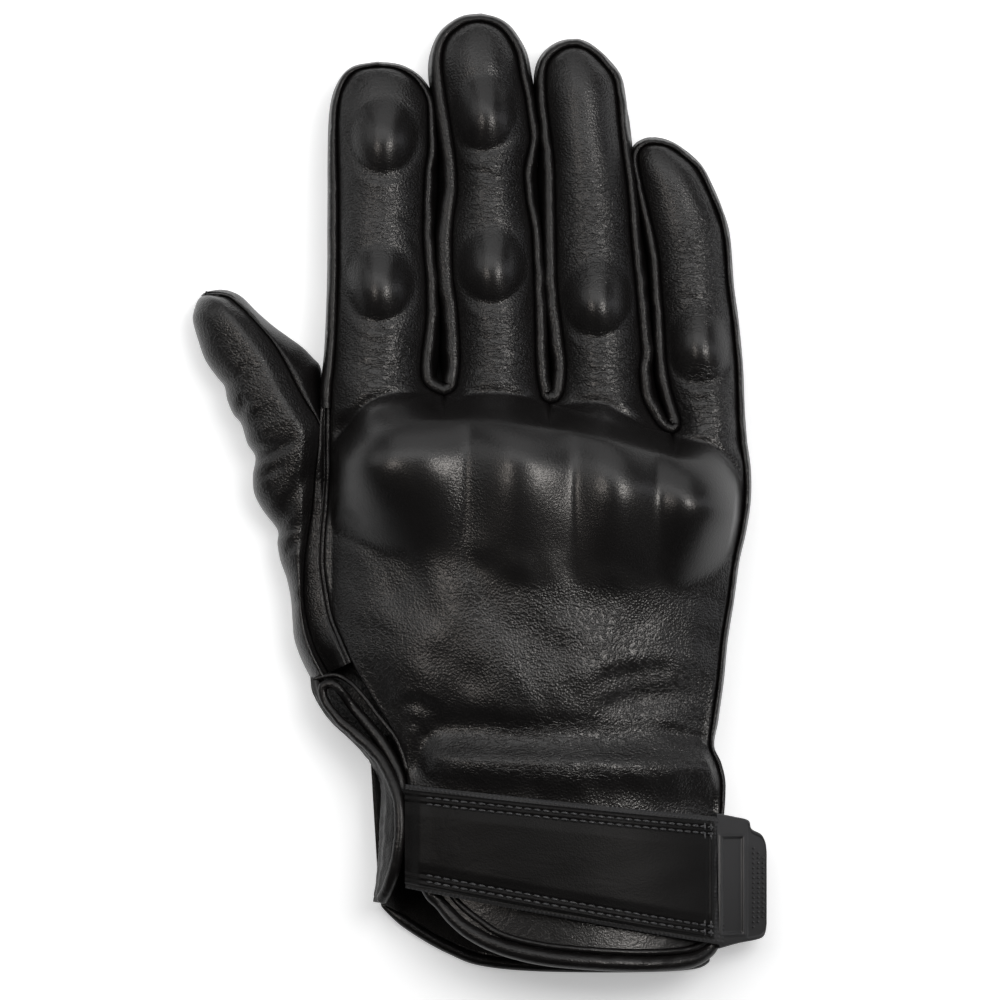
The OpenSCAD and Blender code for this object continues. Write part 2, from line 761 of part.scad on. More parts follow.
guard_first = 2;
guard_last = last_front - 3;
guard_start = guard_front + guard_fade / 2;
guard_stop = guard_front + guard_l - guard_fade / 2;
guard_rows = [
  for (j = [knuckle_rows : -1 : 0])
    let (back = knuckle_depth * j / knuckle_rows)
      if (back > guard_start && back < guard_stop) j / knuckle_rows
];
guard_top = leather_t + guard_clear;
foam_top = guard_top + guard_t + guard_clear;

// Hard moulded shell over the four knuckles
module knuckle_guard() {
  function row(v, depth) = [for (c = [guard_first : guard_last]) hand_back(c, v, 0) - [0, 0, depth]];
  color(guard_colour) sheet(
    [for (v = guard_rows) row(v, guard_top)],
    [for (v = guard_rows) row(v, guard_top + guard_t)]
  );
}

// Foam between the shell and the lining
module knuckle_foam() {
  rows = [for (j = [1 : len(guard_rows) - 2]) guard_rows[j]];
  columns = [guard_first + 1 : guard_last - 1];
  color(foam_colour) sheet(
    [for (v = rows) [for (c = columns) hand_back(c, v, 0) - [0, 0, foam_top]]],
    [for (v = rows) [for (c = columns) hand_back(c, v, 0, false) - [0, 0, leather_t + hand_gap / 2]]]
  );
}

lining_cells = 7;
// Rows of the back between which the lining lies
lining_front = 0.25;
lining_end = 1.95;
lining_rows = [for (j = [lining_cells : -1 : 0]) lerp(lining_front, lining_end, j / lining_cells)];
lining_top = leather_t + hand_gap;

module back_lining() {
  function row(v, depth) = [for (c = [1 : last_front - 1]) hand_back(c, v, 0, false) - [0, 0, depth]];
  color(lining_colour) sheet(
    [for (v = lining_rows) row(v, lining_top)],
    [for (v = lining_rows) row(v, lining_top + lining_t)]
  );
}

module palm_lining() {
  color(lining_colour) translate([0, 0, leather_t + seam_gap]) linear_extrude(lining_t)
    offset(delta = -2 * leather_t) palm_shape();
}

// Elastic that gathers the leather just above the strap
module wrist_elastic() {
  cells = 10;
  top = leather_t + 2 * seam_gap;
  above_strap = 1;
  low = strap_top_y(0) + above_strap;
  function point(r, c, depth) =
    let (
      y = low + elastic_w * r,
      x = lerp(left_edge(y) + 2 * binding_d, right_edge(y) - 2 * binding_d, c / cells)
    ) [x, y, plain_z(x, y) - depth];
  color(textile_colour) sheet(
    [for (r = [0, 0.5, 1]) [for (c = [0 : cells]) point(r, c, top)]],
    [for (r = [0, 0.5, 1]) [for (c = [0 : cells]) point(r, c, top + elastic_t)]]
  );
}

// Cuff on the thumb side

flap_peak_y = -strap_y;
flap_top_y = -vent_top - seam_gap;
flap_low_y = palm_hem_left + binding_r;
flap_swell = 3;
// How far the flap's upper end stands outside the thumb-side seam
flap_step = 3.6;
// Where the flap's edge leaves its straight stretch, and how far up it turns
flap_bend_y = -wrist_y - 5;
flap_bend_run = wrist_y - vent_top + 3;
// Fall of the flap's edge from its peak to its upper end, as a share of its height
flap_fall = 0.3;
function flap_edge_x(y) = lerp(-flap_x, -heel_w - flap_step, ease((y - flap_bend_y) / flap_bend_run));
function flap_edge_z(y) = flap_h * (1 - flap_fall * pow((y - flap_peak_y) / (flap_peak_y + vent_top), 2));

function flap_point(q, y, depth) =
  let (n = 90 + (90 + mitre) * q)
    [
      lerp(palm_left(y) - seam_gap, flap_edge_x(y), q) - flap_swell * sin(180 * q) - depth * cos(n),
      y,
      flap_edge_z(y) * q + depth * sin(n)
    ];

// Palm leather that wraps up over the thumb side of the wrist
module cuff_flap() {
  cells = 4;
  rows = 9;
  top_y = flap_top_y - binding_step;
  function row(r, depth) =
    [for (j = [0 : cells]) flap_point(j / cells, lerp(flap_low_y, top_y, r / rows), depth)];
  color(leather_colour) sheet([for (r = [0 : rows]) row(r, 0)], [for (r = [0 : rows]) row(r, leather_t)]);
}

// One binding along the flap's edge, round the top of the slit, and down to the hem
module vent_binding() {
  flap_steps = 12;
  slit_steps = 10;
  hem_steps = 10;
  // Direction in which the binding stands off the flap's edge, from upright
  flap_tilt = 30;
  flap_stop = -vent_top - 2 * binding_d;
  slit_stop = hem_y(hem_left_x) + binding_step;
  flap_leg = [
    for (j = [0 : flap_steps])
      let (y = lerp(flap_low_y, flap_stop, j / flap_steps), p = flap_point(1, y, leather_t / 2))
        p + (binding_step + 2 * seam_gap) * [sin(flap_tilt), 0, cos(flap_tilt)]
  ];
  slit_leg = [
    for (j = [0 : slit_steps])
      let (
        y = lerp(flap_stop, slit_stop, j / slit_steps),
        x = left_edge(y + binding_step) - binding_step
      ) [x, y, plain_z(x, y) - leather_t / 2]
  ];
  // Half circle over the top of the slit, from the flap's leg to the slit's leg
  from = flap_leg[flap_steps];
  to = slit_leg[0];
  turn = [
    for (a = [135, 90, 45])
      lerp(from, to, (1 + cos(a)) / 2) + [0, sin(a) * (to.x - from.x) / 2, 0]
  ];
  hem_leg = [
    for (j = [1 : hem_steps])
      let (x = lerp(hem_left_x, wrist_right_x, j / hem_steps), y = hem_y(x))
        [x, y, plain_z(x, y) - leather_t / 2]
  ];
  color(leather_colour) cord(concat(flap_leg, turn, slit_leg, hem_leg), binding_r);
}

// Binding along the palm's hem, lying on the ground with the palm
module palm_hem() {
  path = [
    for (j = [0 : palm_hem_cells])
      let (s = j / palm_hem_cells)
        [lerp(palm_left(palm_hem_left), palm_right_x, s), palm_hem_y(s) - binding_r - seam_gap, binding_r]
  ];
  color(leather_colour) cord(path, binding_r);
}

// Strap

// Height of the strap's layers above the back panel
loop_z = seam_gap;
hook_z = loop_z + closure_t + flex_gap;
band_z = hook_z + closure_t + layer_gap;
cover_z = band_z + band_t + layer_gap;
strap_cells = 14;
strap_across = 3;

function strap_mid_y(p) = -strap_y - p * strap_l * tan(strap_slant);
function strap_half(p) = lerp(strap_root_w, strap_end_w, p) / 2;
function strap_top_y(p) = strap_mid_y(p) + strap_half(p);

// Piece of the strap between two shares of its length, drawn in at its long edges
module strap_layer(from, to, edge, z, t) {
  function point(r, c, rise) =
    let (
      p = lerp(from, to, c / strap_cells),
      x = -strap_x + p * strap_l,
      y = strap_mid_y(p) + lerp(-1, 1, r / strap_across) * (strap_half(p) - edge)
    ) [x, y, plain_z(x, y) + rise];
  sheet(
    [for (r = [0 : strap_across]) [for (c = [0 : strap_cells]) point(r, c, z + t)]],
    [for (r = [0 : strap_across]) [for (c = [0 : strap_cells]) point(r, c, z)]]
  );
}

closure_edge = 4;
// Shares of the strap's length at which its layers end
loop_end = 0.96;
hook_end = 0.94;
cover_end = 0.97;
module loop_patch() {
  color(textile_colour) strap_layer(loop_end - loop_l / strap_l, loop_end, closure_edge, loop_z, closure_t);
}

module hook_patch() {
  color(textile_colour) strap_layer(hook_end - hook_l / strap_l, hook_end, closure_edge, hook_z, closure_t);
}

module strap_band() {
  color(textile_colour) strap_layer(0, 1, 0, band_z, band_t);
}

module strap_cover() {
  color(leather_colour) strap_layer(0, cover_end, band_edge, cover_z, leather_t);
}

// Moulded rubber tab at the strap's end, with a blank window framed by its rim
module pull_tab() {
  end_x = -strap_x + strap_l;
  end_y = strap_mid_y(1);
  slope = atan2(plain_z(end_x, end_y) - plain_z(end_x - 1, end_y), 1);
  half = strap_end_w / 2;
  corner = tab_l / 4;
  rim = 1.2;
  color(rubber_colour)
    translate([end_x + seam_gap, end_y, plain_z(end_x, end_y) + band_z])
      rotate([0, -slope, 0])
        difference() {
          linear_extrude(tab_t) polygon([
            [0, -half], [tab_l - corner, corner - half], [tab_l, 2 * corner - half],
            [tab_l, half - 2 * corner], [tab_l - corner, half - corner], [corner, half], [0, half]
          ]);
          translate([rim, corner + rim - half, tab_t - window_depth])
            cube([window_w, strap_end_w - 2 * (corner + rim), tab_t]);
        }
}

// Finger and thumb pieces

module stall_back(i) {
  at_root(i) color(leather_colour) stall_panel(i, back_start, back_end, padded = true);
}

module stall_walls(i) {
  at_root(i) color(wall_colour) stall_sidewalls(i);
}

module stall_foot(i) {
  at_root(i) color(leather_colour) stall_panel(i, foot_start, foot_end);
}

module stall_inside(i) {
  at_root(i) color(lining_colour) stall_lining(i);
}

module stall_guards(i) {
  at_root(i) color(guard_colour) stall_pads(i);
}

module index_back() stall_back(index);
module index_sidewalls() stall_walls(index);
module index_palm() stall_foot(index);
module index_lining() stall_inside(index);
module index_pads() stall_guards(index);

module middle_back() stall_back(middle);
module middle_sidewalls() stall_walls(middle);
module middle_palm() stall_foot(middle);
module middle_lining() stall_inside(middle);
module middle_pads() stall_guards(middle);

module ring_back() stall_back(ring);
module ring_sidewalls() stall_walls(ring);
module ring_palm() stall_foot(ring);
module ring_lining() stall_inside(ring);
module ring_pad() stall_guards(ring);

module little_back() stall_back(little);
module little_sidewalls() stall_walls(little);
module little_palm() stall_foot(little);
module little_lining() stall_inside(little);
module little_pad() stall_guards(little);

// The thumb's outer leather covers its back and its outer wall in one piece
module thumb_back() {
  at_root(thumb) color(leather_colour) stall_panel(thumb, 0, back_end);
}
module thumb_inner_wall() {
  at_root(thumb) color(wall_colour) stall_panel(thumb, back_end, foot_start);
}
module thumb_palm() stall_foot(thumb);
module thumb_lining() stall_inside(thumb);

back_panel();
palm_panel();
little_side_wall();
thumb_side_strip();
thenar_panel();
crotch_gussets();
knuckle_guard();
knuckle_foam();
back_lining();
palm_lining();
wrist_elastic();
vent_binding();
palm_hem();
cuff_flap();
loop_patch();
index_back();
index_sidewalls();
index_palm();
index_lining();
index_pads();
middle_back();
middle_sidewalls();
middle_palm();
middle_lining();
middle_pads();
ring_back();
ring_sidewalls();
ring_palm();
ring_lining();
ring_pad();
little_back();
little_sidewalls();
little_palm();
little_lining();
little_pad();
thumb_back();
thumb_inner_wall();
thumb_palm();
thumb_lining();
strap_band();
strap_cover();
hook_patch();
pull_tab();
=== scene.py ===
import math

import bpy
import numpy as np
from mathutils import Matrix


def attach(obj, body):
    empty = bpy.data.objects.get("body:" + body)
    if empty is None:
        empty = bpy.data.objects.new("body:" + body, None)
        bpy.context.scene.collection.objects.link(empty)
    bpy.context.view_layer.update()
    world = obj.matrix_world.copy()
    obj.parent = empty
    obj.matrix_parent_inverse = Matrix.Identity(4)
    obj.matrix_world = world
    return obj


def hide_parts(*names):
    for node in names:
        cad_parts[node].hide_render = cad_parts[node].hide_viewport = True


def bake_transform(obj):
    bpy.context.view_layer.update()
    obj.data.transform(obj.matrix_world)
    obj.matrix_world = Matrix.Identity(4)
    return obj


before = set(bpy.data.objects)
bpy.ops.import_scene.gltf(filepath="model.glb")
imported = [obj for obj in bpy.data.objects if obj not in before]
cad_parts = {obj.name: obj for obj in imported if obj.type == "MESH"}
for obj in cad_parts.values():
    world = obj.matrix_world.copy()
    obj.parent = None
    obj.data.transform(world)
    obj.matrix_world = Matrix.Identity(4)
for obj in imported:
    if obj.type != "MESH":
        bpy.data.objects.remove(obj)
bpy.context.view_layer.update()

# Studio
# The glove lies palm down on a white sweep, seen from straight above through a long lens. Wide
# softboxes beyond the finger tips and on the left give the sheen, and a ceiling lamp lights only matt
# surfaces. Two small lamps beside the camera give the pairs of small highlights on the knuckles.


def ink(code, alpha=1.0):
    """Linear colour from an sRGB hex value."""
    parts = [int(code[k:k + 2], 16) / 255 for k in (1, 3, 5)]
    line = [c / 12.92 if c <= 0.04045 else ((c + 0.055) / 1.055) ** 2.4 for c in parts]
    return (*line, alpha)


def add(tree, kind, inputs=(), **settings):
    """Add a node with its settings; a socket among the inputs is linked, any other value is set."""
    made = tree.nodes.new(kind)
    for key, value in settings.items():
        setattr(made, key, value)
    for key, value in dict(inputs).items():
        if isinstance(value, bpy.types.NodeSocket):
            tree.links.new(value, made.inputs[key])
        else:
            made.inputs[key].default_value = value
    return made


def new_material(name):
    finish = bpy.data.materials.new(name)
    finish.use_nodes = True
    finish.node_tree.nodes.clear()
    return finish, finish.node_tree


def put(name, data):
    """New object in the scene."""
    item = bpy.data.objects.new(name, data)
    bpy.context.collection.objects.link(item)
    return item


view_distance = 3.0
view_centre = (-0.0075, 0.015)
picture_width = 0.25
# Height above the floor at which the picture's scale holds
scale_height = 0.012
lens = bpy.data.cameras.new("Camera")
lens.sensor_width = 36
lens.lens = lens.sensor_width * view_distance / picture_width
camera = put("Camera", lens)
camera.location = (*view_centre, view_distance + scale_height)
scene = bpy.context.scene
scene.camera = camera
scene.view_settings.view_transform = "Standard"

# Matt white paper: it lights itself only for the camera, so its shadow stays
paper, tree = new_material("Matt white paper")
path = add(tree, "ShaderNodeLightPath").outputs
seen = path["Is Camera Ray"]
for ray in ("Is Glossy Ray", "Is Transmission Ray"):
    seen = add(tree, "ShaderNodeMath", {0: seen, 1: path[ray]}, operation="MAXIMUM").outputs[0]
paper_glow = 0.4
glow = add(tree, "ShaderNodeMath", {0: seen, 1: paper_glow}, operation="MULTIPLY")
matt = add(tree, "ShaderNodeBsdfDiffuse", {"Color": ink("#f2f2f2")})
light = add(tree, "ShaderNodeEmission", {"Color": ink("#ffffff"), "Strength": glow.outputs[0]})
both = add(tree, "ShaderNodeAddShader", {0: matt.outputs[0], 1: light.outputs[0]})
add(tree, "ShaderNodeOutputMaterial", {"Surface": both.outputs[0]})

sweep = bpy.data.meshes.new("Floor")
floor_half = 3.0
floor_corners = [(-floor_half, -floor_half, 0), (floor_half, -floor_half, 0), (floor_half, floor_half, 0),
                 (-floor_half, floor_half, 0)]
sweep.from_pydata(floor_corners, [], [(0, 1, 2, 3)])
sweep.materials.append(paper)
put("Floor", sweep)

world = bpy.data.worlds.new("Studio")
world.use_nodes = True
dim = world.node_tree.nodes["Background"].inputs
dim["Color"].default_value = ink("#d8d9dc")
dim["Strength"].default_value = 0.04
scene.world = world


def lamp(name, place, size, power, colour, matt=True, sheen=True):
    """Lamp that faces the glove; it may light only matt surfaces, or give only sheen."""
    data = bpy.data.lights.new(name, "AREA")
    data.shape = "RECTANGLE"
    data.size, data.size_y = size
    data.energy = power
    data.color = ink(colour)[:3]
    item = put(name, data)
    item.location = place
    aim = np.array(place) - np.array((0.0, 0.02, 0.02))
    reach = math.hypot(aim[0], aim[1])
    item.rotation_euler = (math.atan2(reach, aim[2]), 0, math.atan2(aim[0], -aim[1]))
    item.visible_camera = False
    item.visible_diffuse, item.visible_glossy = matt, sheen


lamp("Softbox", (0.04, 0.3, 0.95), (1.7, 0.4), 5.4, "#ffffff")
lamp("Left softbox", (-1.05, 0.35, 0.62), (0.7, 0.7), 2.0, "#ffffff")
lamp("Far softbox", (0.04, 0.75, 0.6), (1.4, 0.8), 4.4, "#ffffff")
lamp("Ceiling", (0.45, 0.4, 1.2), (0.5, 0.5), 4.5, "#ffffff", sheen=False)
lamp("Left lamp", (-0.34, -0.03, 0.62), (0.12, 0.12), 0.9, "#fff6ee", matt=False)
lamp("Right lamp", (0.34, -0.03, 0.62), (0.12, 0.12), 2.0, "#fffaf5", matt=False)
lamp("Side strip", (1.0, 0.1, 0.3), (0.2, 1.0), 1.0, "#f8f9ff")

# Back of the hand
# One panel of black cowhide from the finger roots to the hem, about 1.2 mm thick. It is pulled
# over a moulded knuckle guard, whose four lobes stand out of it, and is turned in at its seams.
leather_t = 1.2
seam_drop = 1.2
seam_roll = 1.0
# Corners where the finger seams meet, and the height of the seams there
corners = np.array([(-49.75, 38), (-21.5, 41), (4.75, 39), (35.5, 31.5), (52.5, 29.5)])
corner_z = [15.4, 15.4, 15.0, 13.8, 12.9]
fingers = ["index", "middle", "ring", "little"]
root_height = [22, 22, 21, 18.5]
tip_fall = 3
hand_left = [(-49.75, 38), (-50, 31.5), (-50, 22), (-50.5, 14.5), (-51.25, 6.75), (-51.5, 0), (-51, -5.25),
             (-49.5, -13.5), (-47, -19.75), (-43.6, -27.25), (-39, -35), (-33.8, -43.5), (-31.5, -49.5),
             (-30.2, -60), (-28.2, -72.5), (-23.5, -83.25)]
hand_right = [(52.5, 29.5), (53.5, 22.5), (53.6, 15), (52.6, 7.5), (51, 0), (49.6, -10), (48, -20),
              (47, -30), (45.6, -40), (45, -46.5), (47, -51), (48, -56), (47.6, -64), (46.5, -72.5),
              (46, -85), (45.6, -96)]
hand_hem = [(-23.5, -83.25), (-20, -87.5), (-14, -91.5), (-4, -95), (7.5, -97), (24, -98.2), (38, -98),
            (45.6, -96)]
# Seams on the back of each finger, from the root to the tip
finger_left = {
    "index": [(-49.75, 38), (-49.5, 43.75), (-48.75, 51.25), (-48.25, 62.5), (-48, 72.5), (-48, 82.5),
              (-48, 92.5), (-48.25, 102.5), (-48.25, 110), (-47.75, 115), (-46.75, 118.25), (-45, 121),
              (-42.75, 122.5), (-38.6, 123.25)],
    "middle": [(-21.5, 41), (-19.5, 42), (-18.25, 44), (-17.5, 51.25), (-18.25, 63), (-19.25, 70.25),
               (-19.5, 77.75), (-19.25, 84.5), (-18.25, 91.75), (-18.5, 99), (-19.5, 106.25), (-21, 115.5),
               (-22, 122.75), (-21.75, 127.5), (-20.5, 130.5), (-18.5, 132.5), (-16, 134), (-13, 134.5)],
    "ring": [(4.75, 39), (6.9, 39.7), (8.5, 42.5), (9, 48.25), (8.5, 53.75), (7.5, 61.25), (6.75, 68.5),
             (6.5, 77.75), (6.25, 91), (6, 99.25), (5, 107.5), (4, 116), (4, 122), (5, 125), (7, 127),
             (9, 128), (11, 128.25)],
    "little": [(35.5, 31.5), (37, 32.5), (37.5, 35), (35.25, 42.75), (34, 50.25), (33.5, 59.25),
               (32.75, 68.5), (32, 77), (29.75, 87), (27.75, 95.25), (27, 100), (27.5, 102.5),
               (29.25, 103.75), (30.8, 104)],
}
finger_right = {
    "index": [(-21.5, 41), (-24.5, 42.25), (-26.5, 44), (-27.25, 46.5), (-27, 52), (-26, 59.5), (-26, 70),
              (-26.75, 80), (-26.5, 92.5), (-26.25, 97.25), (-25.5, 102.75), (-25.5, 111.75), (-26, 115.5),
              (-27.75, 118.75), (-30, 121), (-33.25, 122.75), (-37.4, 123.25)],
    "middle": [(4.75, 39), (3.25, 40), (2.5, 41.75), (1.5, 48.25), (1.25, 59.25), (1, 70.25), (0.5, 81.25),
               (0, 84.5), (-1, 90), (-1.5, 95.25), (-1.25, 99), (0, 104.5), (-0.25, 108.25),
               (-1.25, 115.5), (-2.5, 121), (-3.5, 126.5), (-6, 131.25), (-8.75, 133.5), (-12, 134.5)],
    "ring": [(35.5, 31.5), (33.5, 32.2), (31.25, 34.5), (28.25, 40), (27.25, 46.5), (27.75, 52),
             (27, 61.25), (26.25, 70.25), (25.25, 80), (24.5, 91), (23.5, 99.25), (22.5, 107.5),
             (21.75, 116), (20.75, 120.5), (17.75, 124.5), (14.5, 127.25), (12, 128.25)],
    "little": [(52.5, 29.5), (52, 37.25), (51.75, 46.5), (51.25, 53.75), (50.5, 61.25), (49.5, 68.5),
               (48.5, 80.75), (46.75, 87), (44.25, 93), (41.5, 98), (37.25, 101.75), (34, 103.5),
               (31.7, 104)],
}


def mix(a, b, t):
    return a + (b - a) * t


def ease(t):
    t = np.clip(t, 0.0, 1.0)
    return t * t * (3 - 2 * t)


def run_of(line):
    """Distance along a line at each of its points."""
    return np.concatenate([[0], np.cumsum(np.linalg.norm(np.diff(line, axis=0), axis=1))])


def length_of(line):
    return float(run_of(line)[-1])


def curve(points, count):
    """Smooth line through points, as an even row of points along it."""
    p = np.asarray(points, float)
    p = np.vstack([2 * p[0] - p[1], p, 2 * p[-1] - p[-2]])
    t = np.linspace(0, 1, 12, endpoint=False)[:, None]
    parts = []
    for a, b, c, d in zip(p, p[1:], p[2:], p[3:]):
        parts.append(0.5 * (2 * b + (c - a) * t + (2 * a - 5 * b + 4 * c - d) * t ** 2
                            + (3 * b - a - 3 * c + d) * t ** 3))
    line = np.vstack(parts + [p[-2:-1]])
    run = run_of(line)
    at = np.linspace(0, run[-1], count)
    return np.stack([np.interp(at, run, line[:, k]) for k in range(line.shape[1])], axis=1)


def ripple(x, y, wave, seed):
    """Soft uneven waves about one wavelength, between about -1 and 1."""
    draw = np.random.default_rng(seed)
    total = np.zeros_like(x)
    for _ in range(7):
        turn, phase = draw.uniform(0, 2 * math.pi, 2)
        k = 2 * math.pi / (wave * draw.uniform(0.75, 1.4))
        total = total + np.sin(k * (x * math.cos(turn) + y * math.sin(turn)) + phase)
    return total / 3.2


def folds(x, y, angle, spacing, length, seed):
    """Broken fine wrinkles that run at an angle, as valleys between rounded ridges."""
    a = math.radians(angle)
    u, v = x * math.cos(a) + y * math.sin(a), y * math.cos(a) - x * math.sin(a)
    bent = v / spacing + 0.9 * ripple(u * spacing / length, v, 2.6 * spacing, seed)
    broken = ease(0.55 + 0.9 * ripple(u * 2 * spacing / length, v, 4 * spacing, seed + 1))
    return (np.abs(np.sin(math.pi * bent)) ** 0.7 - 0.6) * broken


def oval(x, y, cx, cy, rx, ry, turn=0.0):
    """Squared distance from the centre of an oval, 1 on its rim."""
    a = math.radians(turn)
    dx, dy = x - cx, y - cy
    u, v = dx * math.cos(a) + dy * math.sin(a), dy * math.cos(a) - dx * math.sin(a)
    return (u / rx) ** 2 + (v / ry) ** 2


def patch(x, y, *shape):
    """Soft oval mask, 1 at its centre and 0 past its edge."""
    return ease(1.25 * (1 - oval(x, y, *shape)))


def mound(x, y, *shape):
    """Soft oval swelling without an edge."""
    return np.exp(-oval(x, y, *shape))


def crease(x, y, points, depth, width, lip=0.5):
    """Valley along a line, with a soft lip on both sides; it fades at its ends."""
    line = curve(points, max(12, int(length_of(np.array(points, float)) / 0.6)))
    reach = 4 * width
    out = np.zeros_like(x)
    near = ((x > line[:, 0].min() - reach) & (x < line[:, 0].max() + reach)
            & (y > line[:, 1].min() - reach) & (y < line[:, 1].max() + reach))
    if not near.any():
        return out
    gap = np.hypot(x[near][:, None] - line[None, :, 0], y[near][:, None] - line[None, :, 1])
    best = gap.argmin(axis=1)
    d = gap[np.arange(len(best)), best] / width
    share = best / (len(line) - 1)
    fade = ease(np.minimum(share, 1 - share) / 0.25)
    out[near] = depth * fade * (-np.exp(-d * d) + lip * np.exp(-((d - 1.9) / 0.9) ** 2))
    return out


# Knuckle guard: its front crease at the finger roots, its lower edge and its four lobes
guard_front = curve([(-53, 27), (-47.75, 31), (-43.5, 36.5), (-39, 40), (-33.25, 41.75), (-26, 41.6),
                     (-18.5, 40.6), (-13, 41.6), (-7.25, 41.75), (-1.5, 40.8), (2.75, 39.4), (6.75, 38.4),
                     (12, 39.3), (18.25, 39.2), (23, 36.6), (30.5, 32.6), (37.75, 30.6), (46, 28.25),
                     (51.75, 22), (55, 14)], 240)
guard_edge = curve([(-54, 9), (-48, 6.75), (-38, 2.5), (-27.5, -0.5), (-18, -3.25), (-10.5, -6.4),
                    (-2, -8), (7.5, -8.4), (15.25, -8), (30.5, -8.4), (42, -6.25), (49.75, -0.25),
                    (55, 6)], 240)
# Crest of each lobe and its height, and the valleys beside them
lobes = [(-28, 24.6, 36), (-3, 23.4, 38.6), (20.6, 18.6, 38), (38.6, 14.8, 34.4)]
valleys = [(-60, 30), (-15.75, 33), (11, 34.4), (32, 33), (60, 30)]
edge_soft, edge_sink = 1.4, 1.3
guard_crest = curve([(-60, 22), *[lobe[:2] for lobe in lobes], (60, 10)], 240)
ridge_x = np.linspace(-60, 60, 481)
ridge_z = np.zeros(481)
for k, (cx, _, height) in enumerate(lobes):
    for end_x, end_z in valleys[k:k + 2]:
        t = (ridge_x - cx) / (end_x - cx)
        dome = height - (height - end_z) * (np.hypot(t, 0.5) - 0.5) / 0.618
        ridge_z = np.where((t >= 0) & (t <= 1), dome, ridge_z)
blur = np.exp(-(np.arange(-14, 15) / 6) ** 2)
ridge_z = np.convolve(np.pad(ridge_z, 14, mode="edge"), blur / blur.sum(), mode="valid")


def higher(a, b, soft):
    """The larger of two heights, with a rounded valley where they meet."""
    return 0.5 * (a + b + np.sqrt((a - b) ** 2 + soft * soft))


def guard_span(x):
    """Front crease, crest and lower edge of the guard."""
    return [np.interp(x, line[:, 0], line[:, 1]) for line in (guard_front, guard_crest, guard_edge)]


def guard(x, y):
    """Height of the guard over the plain back: four lobes with a round front and a long lower slope.
    The leather sinks in along its lower edge."""
    front, crest, edge = guard_span(x)
    top = np.interp(x, ridge_x, ridge_z)
    ahead = np.clip((y - crest) / (front - crest), 0, 1)
    low = np.maximum(crest - y, 0) / (crest - edge)
    drop = top - plain_z(x, edge) + edge_sink
    top = top - drop * (np.hypot(low, 0.3) - 0.3) / 0.744
    fall = (1 - ahead ** 2) ** 1.1
    sides = (1 - np.clip((-27 - x) / 24, 0, 1) ** 3) * (1 - np.clip((x - 34) / 20.6, 0, 1) ** 2.4)
    sunk = -edge_sink * np.exp(-((y - edge) / 13) ** 2) * ease((50 - np.abs(x)) / 20)
    return fall * sides * higher(top - plain_z(x, y), sunk, edge_soft)


# Moulded pads under the leather of the fingers: centre, half width, half length
pads = [(-36.5, 105.2, 7.4, 8.1), (-37.5, 68.6, 7.5, 8.2), (-11.75, 111, 7.4, 8.1), (-9.5, 73.1, 7.5, 8.2),
        (16.75, 64.8, 7.6, 8.3), (42.4, 53.2, 7.2, 8.2)]
pad_rise = 2.8


def padded(x, y):
    """Height of the leather over the pads, with the fine ring that it draws round each."""
    total = np.zeros_like(x)
    for cx, cy, rx, ry in pads:
        dx, dy = (x - cx) / rx, (y - cy) / np.where(y > cy, 1.1 * ry, ry)
        r = np.sqrt(dx * dx + dy * dy)
        low = ease(0.5 - 0.9 * dy)
        total += pad_rise * np.clip(1 - (r / 1.2) ** 2.2, 0, 1) ** 1.7
        total -= (0.05 + 0.25 * low) * np.exp(-((r - 1.1) / 0.16) ** 2)
        total += 0.1 * low * np.exp(-((r - 1.42) / 0.2) ** 2)
    return total


